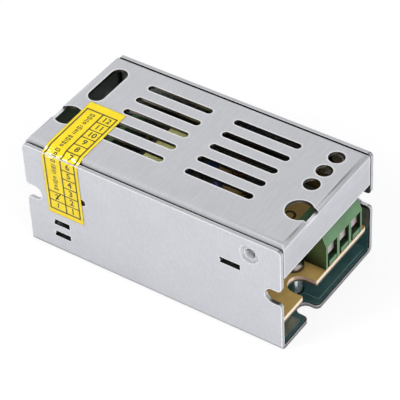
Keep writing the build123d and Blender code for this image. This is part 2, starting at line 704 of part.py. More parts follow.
def make_core_tape():
    """Band of tape round the outside of the core."""
    reach = COIL_LENGTH / 2 + SPOOL_FLANGE + 0.1 + CORE_BACK
    outer = RectangleRounded(2 * reach + 0.34, CORE_WIDTH + 0.34, 0.3)
    band = outer - Rectangle(2 * reach + 0.04, CORE_WIDTH + 0.04)
    z0 = TRAFO_Z - CORE_THICKNESS / 2 + 0.3
    return Pos(TRAFO_X, TRAFO_Y, z0) * extrude(band, amount=CORE_THICKNESS - 0.6)


def capacitor_can(place):
    """Aluminium can with its seal groove and leads."""
    x, y, radius, height = place
    r = radius - SLEEVE_SHEET
    can = turned(
        [(0, 0.4), (r - 0.4, 0.4), (r, 0.8), (r, 1.6), (r - 0.4, 2.1), (r, 2.6),
         (r, height - 0.7), (r - 0.7, height - 0.02), (r - 1.3, height - 0.3), (0, height - 0.3)],
        x, y, BOARD_TOP,
    )
    for lead_x, lead_y in capacitor_lead_places(place):
        can += lead(lead_x, lead_y, BOARD_TOP + 0.5)
    return can


def capacitor_sleeve(place):
    """Shrunk sleeve round the can, drawn in over its upper edge."""
    x, y, radius, height = place
    gap = 0.02
    inner = radius - SLEEVE_SHEET + gap
    return turned(
        [(inner, 0.3), (radius, 0.3), (radius, height - 0.5), (radius - SLEEVE_RIM, height + 0.12),
         (radius - SLEEVE_RIM, height), (inner, height - 0.68)],
        x, y, BOARD_TOP,
    )


def make_choke_core():
    """Ferrite ring standing on edge."""
    ring = rod_x(-CHOKE_THICKNESS / 2, CHOKE_THICKNESS / 2, 0, 0, CHOKE_OUTER)
    ring -= rod_x(-CHOKE_THICKNESS, CHOKE_THICKNESS, 0, 0, CHOKE_INNER)
    return Pos(CHOKE_X, CHOKE_Y, CHOKE_Z) * ring


def choke_lead_places():
    """Two leads of each coil."""
    reach = (CHOKE_THICKNESS + CHOKE_COIL) / 2
    return [(CHOKE_X + dx, CHOKE_Y + dy) for dx in (-reach, reach) for dy in (-3.6, 3.6)]


def make_choke_windings():
    """Two coils on opposite sides of the ring, each with two leads."""
    coils = []
    reach = CHOKE_THICKNESS / 2 + CHOKE_COIL
    for side in (-1, 1):
        shell = rod_x(-reach, reach, 0, 0, CHOKE_OUTER + CHOKE_COIL)
        shell -= rod_x(-reach - 1, reach + 1, 0, 0, CHOKE_INNER - CHOKE_COIL)
        fit = 0.03
        hollow = rod_x(-CHOKE_THICKNESS / 2 - fit, CHOKE_THICKNESS / 2 + fit, 0, 0, CHOKE_OUTER + fit)
        hollow -= rod_x(-reach, reach, 0, 0, CHOKE_INNER - fit)
        size = 3 * CHOKE_OUTER
        angle = math.radians(CHOKE_COIL_ARC / 2)
        wedge = Polygon(
            (0, 0), (side * size * math.cos(angle), size * math.sin(angle)), (side * size, 0),
            (side * size * math.cos(angle), -size * math.sin(angle)),
            align=None,
        )
        sector = extrude(Plane.YZ * wedge, amount=reach + 1, both=True)
        coil = Pos(CHOKE_X, CHOKE_Y, CHOKE_Z) * ((shell - hollow) & sector)
        for x, y in choke_lead_places():
            if (y - CHOKE_Y) * side > 0:
                coil += lead(x, y, CHOKE_Z - 2.6)
        coils.append(coil)
    return Compound(children=coils)


def drum_lead_places():
    """Two leads of the drum choke."""
    return [(DRUM_X, DRUM_Y - 2), (DRUM_X, DRUM_Y + 2)]


def make_output_inductor_core():
    """Ferrite drum with a waist."""
    r = DRUM_RADIUS
    h = DRUM_HEIGHT
    f = DRUM_FLANGE
    body = turned(
        [(0, 0.3), (r, 0.3), (r, f + 0.3), (DRUM_WAIST, f + 0.3), (DRUM_WAIST, h - f), (r, h - f), (r, h), (0, h)],
        DRUM_X, DRUM_Y, BOARD_TOP,
    )
    for x, y in drum_lead_places():
        body += lead(x, y, BOARD_TOP + 0.6)
    return body


def make_output_inductor_winding():
    """Enamelled wire round the waist of the drum."""
    r = DRUM_RADIUS - 0.2
    h0 = DRUM_FLANGE + 0.32
    h1 = DRUM_HEIGHT - DRUM_FLANGE - 0.02
    waist = DRUM_WAIST + 0.02
    return turned([(waist, h0), (r, h0), (r, h1), (waist, h1)], DRUM_X, DRUM_Y, BOARD_TOP)


def axial_part(x, y, length, radius, lift, span, waist=0.0):
    """Round body along X, with or without a waist, held above the board by two bent leads."""
    z = BOARD_TOP + lift
    half = length / 2
    edge = radius * 0.2
    profile = [(0, -half), (radius - edge, -half), (radius, -half + edge)]
    if waist:
        thin = radius * 0.88
        profile += [(radius, -half + waist), (thin, -half + waist), (thin, half - waist), (radius, half - waist)]
    profile += [(radius, half - edge), (radius - edge, half), (0, half)]
    body = Pos(x, y, z) * Rot(0, 90, 0) * turned(profile, 0, 0, 0)
    reach = span / 2
    wire = LEAD_WIDTH / 2
    body += block(x - reach, x + reach, y - wire, y + wire, z - wire, z + wire)
    for side in (-1, 1):
        body += lead(x + side * reach, y, z + wire)
    return body


def axial_lead_places():
    """Leads of every part that lies along X."""
    return [
        (part[0] + side * part[5] / 2, part[1])
        for part in (FUSE, OUTPUT_DIODE, *RESISTORS, *SMALL_DIODES)
        for side in (-1, 1)
    ]


def disc_lead_places(part):
    """Two leads of a disc that stands in the XZ plane."""
    x, y, _, _, _, gap = part
    return [(x - gap / 2, y), (x + gap / 2, y)]


def standing_disc(part):
    """Dipped disc on two leads."""
    x, y, radius, thickness, lift, _ = part
    z = BOARD_TOP + lift
    disc = rod_y(x, y - thickness / 2, y + thickness / 2, z, radius)
    disc = chamfer(disc.edges().filter_by(GeomType.CIRCLE), thickness * 0.3)
    for lead_x, lead_y in disc_lead_places(part):
        disc += lead(lead_x, lead_y, z - 1)
    return disc


def chip_leg_places(part):
    """Legs along both long sides of a chip."""
    x, y, _, width, _, legs, pitch = part
    middle = (legs - 1) / 2
    reach = width / 2 + 0.6
    return [(x + (leg - middle) * pitch, y + side * reach) for side in (-1, 1) for leg in range(legs)]


def chip(part):
    """Moulded chip with drafted sides and flat legs."""
    x, y, length, width, height, _, _ = part
    z0 = BOARD_TOP + 0.5
    parting = z0 + height / 2
    lower = Plane.XY.offset(parting) * Pos(x, y) * Rectangle(length, width)
    body = extrude(lower, amount=height / 2, taper=8)
    body += extrude(lower, amount=-height / 2, taper=8)
    for leg_x, leg_y in chip_leg_places(part):
        inwards = 1 if leg_y < y else -1
        y0, y1 = sorted((leg_y - inwards * 0.13, leg_y + inwards * 1.0))
        body += block(leg_x - 0.5, leg_x + 0.5, y0, y1, parting - 0.13, parting + 0.13)
        body += block(leg_x - 0.25, leg_x + 0.25, leg_y - 0.13, leg_y + 0.13, LEAD_END, parting + 0.13)
    return body


def reference_lead_places():
    """Three leads in a row."""
    return [(REFERENCE_X, REFERENCE_Y + step * 1.27) for step in (-1, 0, 1)]


def make_voltage_reference():
    """Small transistor-shaped part: a cylinder with one flat."""
    z0 = BOARD_TOP + REFERENCE_LIFT
    body = rod(REFERENCE_X, REFERENCE_Y, z0, z0 + REFERENCE_HEIGHT, REFERENCE_RADIUS)
    flat = REFERENCE_X + REFERENCE_RADIUS * 0.6
    body -= block(flat, flat + 5, REFERENCE_Y - 5, REFERENCE_Y + 5, z0 - 1, z0 + REFERENCE_HEIGHT + 1)
    for x, y in reference_lead_places():
        body += lead(x, y, z0 + 0.5)
    return body


def lead_places():
    """Every hole that the board needs for a lead."""
    places = transformer_pin_places() + choke_lead_places() + drum_lead_places() + axial_lead_places()
    for place in all_capacitors():
        places += capacitor_lead_places(place)
    for part in (THERMISTOR, SAFETY_CAPACITOR, CLAMP_CAPACITOR):
        places += disc_lead_places(part)
    for part in (BRIDGE, CONTROLLER, OPTOCOUPLER):
        places += chip_leg_places(part)
    return places + reference_lead_places()


def case_nodes():
    """Sheet-metal case, film, label and board fixing."""
    return {
        "chassis": make_chassis(),
        "cover": make_cover(),
        "insulation_film": make_insulation_film(),
        "seal_label": make_seal_label(),
        "board_standoff": make_board_standoff(),
        "board_screw": make_board_screw(),
        "circuit_board": make_circuit_board(),
    }


def terminal_nodes():
    """Both terminal blocks with their clamps and screws."""
    nodes = {
        "output_terminal_housing": place_output(terminal_housing()),
        "output_terminal_pins": Compound(children=[place_output(pin) for pin in terminal_pins()]),
        "input_terminal_housing": place_input(terminal_housing()),
        "input_terminal_pins": Compound(children=[place_input(pin) for pin in terminal_pins()]),
    }
    for number, offset in enumerate(pole_offsets(), start=1):
        nodes[f"output_clamp_{number}"] = place_output(cage_clamp(), offset)
        nodes[f"output_screw_{number}"] = place_output(clamp_screw(), offset)
        nodes[f"input_clamp_{number}"] = place_input(cage_clamp(), offset)
        nodes[f"input_screw_{number}"] = place_input(clamp_screw(), offset)
    return nodes


def component_nodes():
    """Everything soldered to the board apart from the terminals."""
    nodes = {
        "transformer_core": make_transformer_core(),
        "transformer_bobbin": make_transformer_bobbin(),
        "transformer_winding": make_transformer_winding(),
        "core_tape": make_core_tape(),
        "bulk_capacitor_can": capacitor_can(BULK_CAPACITOR),
        "bulk_capacitor_sleeve": capacitor_sleeve(BULK_CAPACITOR),
        "small_capacitor_can": capacitor_can(SMALL_CAPACITOR),
        "small_capacitor_sleeve": capacitor_sleeve(SMALL_CAPACITOR),
        "choke_core": make_choke_core(),
        "choke_windings": make_choke_windings(),
        "output_inductor_core": make_output_inductor_core(),
        "output_inductor_winding": make_output_inductor_winding(),
        "fuse": axial_part(*FUSE, waist=1.5),
        "output_diode": axial_part(*OUTPUT_DIODE),
        "resistors": Compound(children=[axial_part(*part) for part in RESISTORS]),
        "small_diodes": Compound(children=[axial_part(*part) for part in SMALL_DIODES]),
        "inrush_thermistor": standing_disc(THERMISTOR),
        "safety_capacitor": standing_disc(SAFETY_CAPACITOR),
        "clamp_capacitor": standing_disc(CLAMP_CAPACITOR),
        "bridge_rectifier": chip(BRIDGE),
        "switching_controller": chip(CONTROLLER),
        "optocoupler": chip(OPTOCOUPLER),
        "voltage_reference": make_voltage_reference(),
    }
    for number, place in enumerate(OUTPUT_CAPACITORS, start=1):
        nodes[f"output_capacitor_can_{number}"] = capacitor_can(place)
        nodes[f"output_capacitor_sleeve_{number}"] = capacitor_sleeve(place)
    return nodes


os.makedirs("parts", exist_ok=True)
for group in (case_nodes(), terminal_nodes(), component_nodes()):
    for name, shape in group.items():
        export_step(shape, f"parts/{name}.step")
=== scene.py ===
import json
import math
import random

import bmesh
import bpy
from mathutils import Matrix, Vector


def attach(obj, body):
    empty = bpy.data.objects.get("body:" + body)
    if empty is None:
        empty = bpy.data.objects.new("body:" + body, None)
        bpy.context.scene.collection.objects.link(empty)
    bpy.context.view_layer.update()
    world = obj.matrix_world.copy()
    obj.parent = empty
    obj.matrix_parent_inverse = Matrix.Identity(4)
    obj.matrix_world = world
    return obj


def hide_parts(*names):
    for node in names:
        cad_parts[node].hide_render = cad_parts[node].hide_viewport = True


# Caged power supply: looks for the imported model. Metres, in the row's frame:
# +Z up, +X towards the output end, -Y towards the wall with the seal label.
MM = 0.001
CASE = "case"

# Camera
VIEW_AZIMUTH = math.radians(36.208)
VIEW_ELEVATION = math.radians(41.618)
VIEW_ROLL = math.radians(-3.118)
VIEW_DISTANCE = 0.4709
VIEW_TARGET = Vector((0, 0, 0.015))
VIEW_SIDE = 0.000304
VIEW_DROP = 0.000703
LENS = 183.45
SENSOR = 36.0

# Room inside the case, whose inner faces get painted shade: its middle, its walls and its top; how near
# to them still counts as on them, and how far in from the walls the cover's openings start
INNER_MIDDLE = (0, 0, 0.015)
INNER_WALL = 18.5 * MM
INNER_TOP = 29.75 * MM
WALL_SKIN = 0.1 * MM
COVER_INSET = 2.5 * MM

# Board: its faces, the leads' ends, its print, where the painted light on the middle of its top ends (x),
# where its cut edge turns darker towards the bottom, partly painted shade (z), and the solder round the leads
BOARD_BOTTOM = 6.7 * MM
BOARD_TOP = 8.3 * MM
LEAD_END = 5.5 * MM
PRINT_LIFT = 0.015 * MM
PRINT_LINE = 0.2 * MM
PAINTED_LIGHT_BOARD = (22.0 * MM, 26.0 * MM)
CUT_EDGE_DARKENING = (7.15 * MM, 7.40 * MM)
SOLDER_HEIGHT = 0.85 * MM
SOLDER_TIP = 0.32 * MM
SOLDER_FOOT = 0.56 * MM
LEAD_PITCH = 1.1 * MM

# Printed outlines on the board (mm): rings as centre x, centre y, outer radius and line, frames as
# centre x, centre y, width and depth
PRINTED_RINGS = (
    (17.2, 11.9, 1.6, 0.6), (21.6, 9.4, 1.6, 0.6), (-12.3, -12.2, 5.5, 0.2), (3.1, -2.0, 4.7, 0.2),
    (13.2, -12.6, 4.7, 0.2), (20.5, -13.6, 3.0, 0.2), (20.4, -3.4, 3.7, 0.2),
)
PRINTED_FRAMES = (
    (-9.2, 2.9, 16.4, 17.8), (8.7, 13.2, 9.8, 5.4), (-20.4, 14.0, 9.2, 6.2), (-1.9, -10.6, 10.2, 7.0),
    (6.2, -13.6, 5.4, 5.4), (-23.6, -15.2, 8.4, 4.2), (13.0, 2.4, 3.6, 7.4), (8.8, -7.2, 7.0, 2.8),
    (8.5, 5.6, 7.0, 2.8),
)

# Fuse: its middle, and how far its glass reaches to each side
FUSE_X = -23.6 * MM
FUSE_GLASS = 2.3 * MM

# Resistors: pitch of the colour bands, and a band's share of it
BAND_PITCH = 1.6 * MM
BAND_SHARE = 0.36

# Capacitor sleeves: the normal's part along +Y from which the pale stripe and its dashes start,
# and the wave that sets the dashes, with the level over which it draws one
STRIPE_FACING = 0.80
DASH_FACING = 0.975
DASH_RATE = 2500.0
DASH_LEVEL = 0.55

# Pressed cross on a can's top: its span as a share of the can, its width and its height
SCORE_SPAN = 0.64
SCORE_WIDTH = 0.22 * MM
SCORE_HEIGHT = 0.08 * MM

# Film: height of its upper face, its end tabs (paler by painted light), its far wall and the heights
# over which that pales with a painted reflection
FILM_TOP_FACE = 1.3 * MM
FILM_TAB = (-17.4 * MM, -10.2 * MM)
FILM_TAB_TOP = 2 * MM
FILM_FAR_WALL = 17 * MM
FILM_PALES = (7.5 * MM, 9.5 * MM)

# Crease lines inside the film's end edges: x and x, y and y (mm)
CREASE_X = 33.85
CREASE_START = 29.8
CREASE_LINES = ((CREASE_X, CREASE_X, -2.2, 17.4), (CREASE_START, CREASE_X, -2.2, -2.2),
                (CREASE_X, CREASE_X, -17.4, -10.2), (CREASE_START, CREASE_X, -10.2, -10.2))

# Tape round the transformer's coil: its rounded corners and its thickness, its centre, then each
# layer's length, width and height (mm)
TAPE_CORNER = 0.55 * MM
TAPE_THICKNESS = 0.3 * MM
COIL_CENTRE = (-9.2, 2.9, 17.3)
TAPE_LAYERS = ((8.1, 12.44, 13.04), (6.4, 12.56, 13.16), (4.6, 12.68, 13.28))

# Case: how its cut edges are rounded, and where the slits beside its pressed strips lie, which are painted
# black as shade
EDGE_ROUND = 0.12 * MM
EDGE_ANGLE = math.radians(35)
WELD_REACH = 0.001 * MM
STRIPS_END = 22.5 * MM
SLIT_BOTTOM = (18.55 * MM, 19.35 * MM)

# Seal label: its place and size, its path over the wall, the wall's top edge and the cover's bend
# (y, z in mm), its crinkled fold, and the layout of its print
LABEL_X = -24.3 * MM
LABEL_WIDTH = 10.1 * MM
LABEL_LIFT = 0.10 * MM
LABEL_SHEET = 0.08 * MM
LABEL_PRINT_LIFT = 0.112 * MM
LABEL_PATH = [
    (-19.50, 12.30), (-19.50, 29.30), (-19.42, 29.62), (-19.15, 29.80), (-18.50, 29.84),
    (-17.90, 30.02), (-17.30, 30.32), (-16.60, 30.48), (-15.90, 30.50), (0.40, 30.50),
]
FOLD_MIDDLE = 18.4 * MM
FOLD_REACH = 1.9 * MM
CRINKLE_DEPTH = 0.045 * MM
LABEL_LEAN = 0.94 * MM
LABEL_LINE = 0.40 * MM
LABEL_PITCH = 0.28 * MM
# Where the pale cracks and painted glints at the fold reach: heights (z), then the fade behind the bend (y)
LABEL_FOLD = (29.0 * MM, 29.5 * MM)
LABEL_BEHIND = (-18.0 * MM, -17.2 * MM)
LABEL_MARGIN = 0.85 * MM
LABEL_FOOT = 1.5 * MM
LABEL_HEAD = 2.5 * MM
LEFT_COLUMN = 0.54
ROW_SIZE = 2.0 * MM
MONTH_SIZE = 2.3 * MM
LABEL_MONTHS = 12
MONTHS_ON_COVER = 5
WIDER_ON_COVER = 1.06

# Pen stroke across the lower cells of the label: its two ends and its width (mm)
PEN_STROKE = ((-2.48, 4.47), (-0.79, 6.79), 0.30)

# Looks that several materials share
NOISE_RANGE = (0.3, 0.7)
EVEN = (1, 1, 1)
SHEET_ROUGHNESS = 0.36
# The bare edge is wear and painted highlight; the slit black, the inner share and the cavity dark are painted
# shade; the near faces are the faces that get painted shade.
WORN_EDGE_HIGHLIGHT = (0.97, 0.97, 0.98)
SLIT_SHADE = (0.04, 0.04, 0.04)
INNER_SHADE_SHARE = (0.46, 0.42, 0.35)
CAVITY_SHADE_COLOUR = (0.08, 0.08, 0.08)
SHADED_FACING = (-0.6, -0.8)
MOULDED_SPREAD = 0.12

# Studio, as reflections find it: the dark and the dim panel's direction, the cosines between which
# each fades in, and for the dim panel and the low band also how dark they get
FAR_HIGH = (0.12, 0.61, 0.78)
FAR_LOW = (0.74, 0.66, 0.12)
DARK_PANEL = (0.92, 0.965)
DIM_PANEL = (0.78, 0.87, 0.32)
LOW_BAND_TOP = 0.20
LOW_BAND = (0.0, 0.12, 0.65)

# Soft boxes: place, size and power; then how much white the camera sees in the floor
LAMPS = (
    ("key", (-0.30, -0.46, 0.42), 0.34, 3.2),
    ("fill", (0.50, -0.10, 0.35), 0.40, 1.8),
    ("front", (0.30, -0.40, 0.50), 0.16, 1.2),
)
FLOOR_COLOUR = (0.86, 0.86, 0.87, 1)
FLOOR_WHITENESS = 0.80
AMBIENT_COLOUR = (0.97, 0.98, 1.0, 1)
AMBIENT_STRENGTH = 0.62

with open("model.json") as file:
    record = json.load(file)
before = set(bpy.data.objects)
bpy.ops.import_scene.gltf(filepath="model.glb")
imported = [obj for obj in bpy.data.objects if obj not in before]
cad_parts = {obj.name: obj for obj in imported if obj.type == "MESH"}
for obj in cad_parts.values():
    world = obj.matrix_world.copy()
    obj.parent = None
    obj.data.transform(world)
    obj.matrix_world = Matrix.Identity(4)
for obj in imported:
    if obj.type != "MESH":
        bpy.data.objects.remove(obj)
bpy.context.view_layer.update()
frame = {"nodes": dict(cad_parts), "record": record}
nodes = frame["nodes"]


# Shader groups

def new_group(name, inputs, outputs):
    """Empty shader group with float, colour or vector sockets."""
    group = bpy.data.node_groups.new(name, "ShaderNodeTree")
    for label, kind, value in inputs:
        group.interface.new_socket(label, in_out="INPUT", socket_type=kind).default_value = value
    for label, kind in outputs:
        group.interface.new_socket(label, in_out="OUTPUT", socket_type=kind)
    return group, group.nodes.new("NodeGroupInput"), group.nodes.new("NodeGroupOutput")


def math_node(tree, operation, a, b=None, clamp=False):
    """Math node with links or numbers on its sockets."""
    node = tree.nodes.new("ShaderNodeMath")
    node.operation = operation
    node.use_clamp = clamp
    for socket, value in zip(node.inputs, (a, b)):
        if value is None:
            continue
        if isinstance(value, (int, float)):
            socket.default_value = value
        else:
            tree.links.new(value, socket)
    return node.outputs[0]


def size_of(tree, value):
    """A value without its sign."""
    return math_node(tree, "ABSOLUTE", value)


def over(tree, value, limit):
    """1 where a value is over a limit."""
    return math_node(tree, "GREATER_THAN", value, limit)


def under(tree, value, limit):
    """1 where a value is under a limit."""
    return math_node(tree, "LESS_THAN", value, limit)


def mix_colours(tree, factor, a, b, blend="MIX"):
    """Colour mix with links or colours on its sockets."""
    node = tree.nodes.new("ShaderNodeMix")
    node.data_type = "RGBA"
    node.blend_type = blend
    for socket, value in ((node.inputs[0], factor), (node.inputs[6], a), (node.inputs[7], b)):
        if isinstance(value, (int, float)):
            socket.default_value = value
        elif isinstance(value, tuple):
            socket.default_value = (*value[:3], 1.0)
        else:
            tree.links.new(value, socket)
    return node.outputs[2]


def stretched_noise(tree, stretch, scale, detail=3.0):
    """Noise on object coordinates, stretched by a factor along each axis."""
    coords = tree.nodes.new("ShaderNodeTexCoord")
    mapping = tree.nodes.new("ShaderNodeMapping")
    mapping.inputs["Scale"].default_value = stretch
    tree.links.new(coords.outputs["Object"], mapping.inputs["Vector"])
    noise = tree.nodes.new("ShaderNodeTexNoise")
    noise.inputs["Scale"].default_value = scale
    noise.inputs["Detail"].default_value = detail
    tree.links.new(mapping.outputs["Vector"], noise.inputs["Vector"])
    return noise.outputs["Fac"]


def make_edge_group():
    """Mask of the convex and concave edges of a piece, broken up by noise."""
    group, given, result = new_group(
        "edge_wear", [("Radius", "NodeSocketFloat", 0.0003)], [("Mask", "NodeSocketFloat")]
    )
    bevel = group.nodes.new("ShaderNodeBevel")
    bevel.samples = 4
    group.links.new(given.outputs["Radius"], bevel.inputs["Radius"])
    geometry = group.nodes.new("ShaderNodeNewGeometry")
    dot = group.nodes.new("ShaderNodeVectorMath")
    dot.operation = "DOT_PRODUCT"
    group.links.new(bevel.outputs["Normal"], dot.inputs[0])
    group.links.new(geometry.outputs["Normal"], dot.inputs[1])
    bend = math_node(group, "SUBTRACT", 1.0, dot.outputs["Value"])
    mask = math_node(group, "MULTIPLY", bend, 14.0, clamp=True)
    broken = math_node(group, "MULTIPLY_ADD", stretched_noise(group, EVEN, 900.0), 1.2, clamp=True)
    group.links.new(math_node(group, "MULTIPLY", mask, broken, clamp=True), result.inputs["Mask"])
    return group


def make_grain_group():
    """Rolled or brushed grain: fine streaks, fine pits and slow mottling."""
    group, given, result = new_group(
        "metal_grain",
        [("Streaks", "NodeSocketFloat", 0.5), ("Mottle", "NodeSocketFloat", 0.5)],
        [("Tone", "NodeSocketFloat"), ("Height", "NodeSocketFloat")],
    )
    streaks = stretched_noise(group, (2.6, 0.35, 1.2), 700.0, 4.0)
    pits = stretched_noise(group, EVEN, 5200.0, 2.0)
    mottle = stretched_noise(group, EVEN, 120.0, 3.0)
    fine = math_node(group, "ADD", math_node(group, "MULTIPLY", streaks, given.outputs["Streaks"]),
                     math_node(group, "MULTIPLY", pits, 0.35))
    tone = math_node(group, "ADD", fine, math_node(group, "MULTIPLY", mottle, given.outputs["Mottle"]))
    group.links.new(tone, result.inputs["Tone"])
    group.links.new(fine, result.inputs["Height"])
    return group


def make_moulding_group():
    """Fine uneven skin of a moulded or dipped piece."""
    group, given, result = new_group(
        "moulded_skin",
        [("Scale", "NodeSocketFloat", 1500.0)],
        [("Tone", "NodeSocketFloat"), ("Height", "NodeSocketFloat")],
    )
    coords = group.nodes.new("ShaderNodeTexCoord")
    fine = group.nodes.new("ShaderNodeTexNoise")
    fine.inputs["Detail"].default_value = 3.0
    group.links.new(coords.outputs["Object"], fine.inputs["Vector"])
    group.links.new(given.outputs["Scale"], fine.inputs["Scale"])
    slow = stretched_noise(group, EVEN, 180.0, 2.0)
    group.links.new(slow, result.inputs["Tone"])
    group.links.new(fine.outputs["Fac"], result.inputs["Height"])
    return group


def make_cavity_group():
    """Mask for painted shade that falls from 1 in the open to 0 deep in slots and corners."""
    group, given, result = new_group(
        "cavity_shade",
        [("Reach", "NodeSocketFloat", 0.002), ("Depth", "NodeSocketFloat", 1.5)],
        [("Open", "NodeSocketFloat")],
    )
    hollow = group.nodes.new("ShaderNodeAmbientOcclusion")
    hollow.samples = 6
    group.links.new(given.outputs["Reach"], hollow.inputs["Distance"])
    deep = math_node(group, "POWER", hollow.outputs["AO"], given.outputs["Depth"], clamp=True)
    group.links.new(deep, result.inputs["Open"])
    return group


CAVITY_GROUP = make_cavity_group()
EDGE_GROUP = make_edge_group()
GRAIN_GROUP = make_grain_group()
MOULDING_GROUP = make_moulding_group()


def use_group(tree, group, **values):
    """Places a shader group in a material with its own values."""
    node = tree.nodes.new("ShaderNodeGroup")
    node.node_tree = group
    for label, value in values.items():
        node.inputs[label].default_value = value
    return node


# Materials

def new_material(name, roughness=0.5, metallic=0.0):
    """Material with one Principled shader."""
    material = bpy.data.materials.new(name)
    material.use_nodes = True
    shader = material.node_tree.nodes["Principled BSDF"]
    shader.inputs["Roughness"].default_value = roughness
    shader.inputs["Metallic"].default_value = metallic
    return material, material.node_tree, shader


def add_bump(tree, shader, height, strength, distance):
    """Bump on the shader's normal."""
    bump = tree.nodes.new("ShaderNodeBump")
    bump.inputs["Strength"].default_value = strength
    bump.inputs["Distance"].default_value = distance
    tree.links.new(height, bump.inputs["Height"])
    tree.links.new(bump.outputs["Normal"], shader.inputs["Normal"])


def spread(tree, value, low=0.0, high=1.0):
    """Maps the usual range of a noise to low..high."""
    node = tree.nodes.new("ShaderNodeMapRange")
    node.inputs["From Min"].default_value, node.inputs["From Max"].default_value = NOISE_RANGE
    node.inputs["To Min"].default_value = low
    node.inputs["To Max"].default_value = high
    tree.links.new(value, node.inputs["Value"])
    return node.outputs["Result"]


def ramp(tree, value, low, high, top=1.0):
    """Rises smoothly from 0 at low to top at high."""
    node = tree.nodes.new("ShaderNodeMapRange")
    node.interpolation_type = "SMOOTHSTEP"
    node.inputs["From Min"].default_value = low
    node.inputs["From Max"].default_value = high
    node.inputs["To Max"].default_value = top
    tree.links.new(value, node.inputs["Value"])
    return node.outputs["Result"]


def shade_cavities(tree, colour, reach, depth):
    """Paints shade into a colour deep in slots and corners."""
    open_to_light = use_group(tree, CAVITY_GROUP, Reach=reach, Depth=depth).outputs["Open"]
    shadow = mix_colours(tree, 1.0, colour, CAVITY_SHADE_COLOUR, "MULTIPLY")
    return mix_colours(tree, open_to_light, shadow, colour)


def object_place(tree):
    """Object coordinates, whole and split."""
    coords = tree.nodes.new("ShaderNodeTexCoord")
    split = tree.nodes.new("ShaderNodeSeparateXYZ")
    tree.links.new(coords.outputs["Object"], split.inputs[0])
    return coords.outputs["Object"], split.outputs


def face_normal(tree):
    """The surface's normal, whole and split."""
    geometry = tree.nodes.new("ShaderNodeNewGeometry")
    split = tree.nodes.new("ShaderNodeSeparateXYZ")
    tree.links.new(geometry.outputs["Normal"], split.inputs[0])
    return geometry.outputs["Normal"], split.outputs


def all_of(tree, *masks):
    """1 where every mask is 1."""
    joined = masks[0]
    for mask in masks[1:]:
        joined = math_node(tree, "MULTIPLY", joined, mask)
    return joined


def between(tree, value, low, high):
    """1 where a value lies between two limits."""
    return all_of(tree, over(tree, value, low), under(tree, value, high))


def inner_faces(tree):
    """1 on the case's inner faces and on the cut walls of the cover's openings, where they get painted shade,
    0 elsewhere.
    """
    whole, axes = object_place(tree)
    normal, facing = face_normal(tree)
    from_middle = tree.nodes.new("ShaderNodeVectorMath")
    from_middle.operation = "SUBTRACT"
    from_middle.inputs[1].default_value = INNER_MIDDLE
    tree.links.new(whole, from_middle.inputs[0])
    dot = tree.nodes.new("ShaderNodeVectorMath")
    dot.operation = "DOT_PRODUCT"
    tree.links.new(from_middle.outputs[0], dot.inputs[0])
    tree.links.new(normal, dot.inputs[1])
    side = size_of(tree, axes[1])
    on_wall = under(tree, size_of(tree, math_node(tree, "SUBTRACT", side, INNER_WALL)), WALL_SKIN)
    plane = math_node(tree, "MAXIMUM", on_wall, under(tree, facing[2], -0.5))
    inner = all_of(tree, under(tree, dot.outputs["Value"], 0.0), under(tree, axes[2], INNER_TOP), plane)
    upright = under(tree, size_of(tree, facing[2]), 0.35)
    cut = all_of(tree, upright, under(tree, side, INNER_WALL - COVER_INSET),
                 over(tree, axes[2], INNER_TOP - WALL_SKIN))
    return math_node(tree, "MAXIMUM", inner, cut)


def wall_recesses(tree):
    """1 deep in the slits beside the pressed strips of the walls, which get painted shade."""
    axes = object_place(tree)[1]
    outward = math_node(tree, "MULTIPLY", face_normal(tree)[1][1], math_node(tree, "SIGN", axes[1]))
    return all_of(tree, between(tree, size_of(tree, axes[1]), *SLIT_BOTTOM), under(tree, axes[2], STRIPS_END),
                  over(tree, outward, 0.3))


def sheet_metal(name, colour, rim, shade_slits=False):
    """Satin sheet metal with a faint grain, edges lighter by wear and painted highlight, and painted shade on
    its inner faces, in its cavities and in the slits.
    """
    material, tree, shader = new_material(name, SHEET_ROUGHNESS, 1.0)
    grain = use_group(tree, GRAIN_GROUP, Streaks=0.4, Mottle=0.25)
    dark = tuple(c * 0.88 for c in colour)
    light = tuple(min(1.0, c * 1.11) for c in colour)
    base = mix_colours(tree, spread(tree, grain.outputs["Tone"]), dark, light)
    # Edges lighter: partly wear, partly painted highlight.
    wear = use_group(tree, EDGE_GROUP, Radius=rim)
    base = mix_colours(tree, wear.outputs["Mask"], base, WORN_EDGE_HIGHLIGHT)
    # Painted shade: the inner faces and the cut walls of the cover's openings are darker.
    inner_shade = tuple(c * share for c, share in zip(colour, INNER_SHADE_SHARE))
    base = mix_colours(tree, inner_faces(tree), base, inner_shade)
    base = shade_cavities(tree, base, 1.6 * MM, 2.2)
    if shade_slits:
        # Painted shade: black deep in the slits beside the pressed strips.
        base = mix_colours(tree, wall_recesses(tree), base, SLIT_SHADE)
    tree.links.new(base, shader.inputs["Base Color"])
    rough = spread(tree, grain.outputs["Tone"], SHEET_ROUGHNESS - 0.05, SHEET_ROUGHNESS + 0.06)
    tree.links.new(rough, shader.inputs["Roughness"])
    add_bump(tree, shader, grain.outputs["Height"], 0.12, 0.02 * MM)
    return material


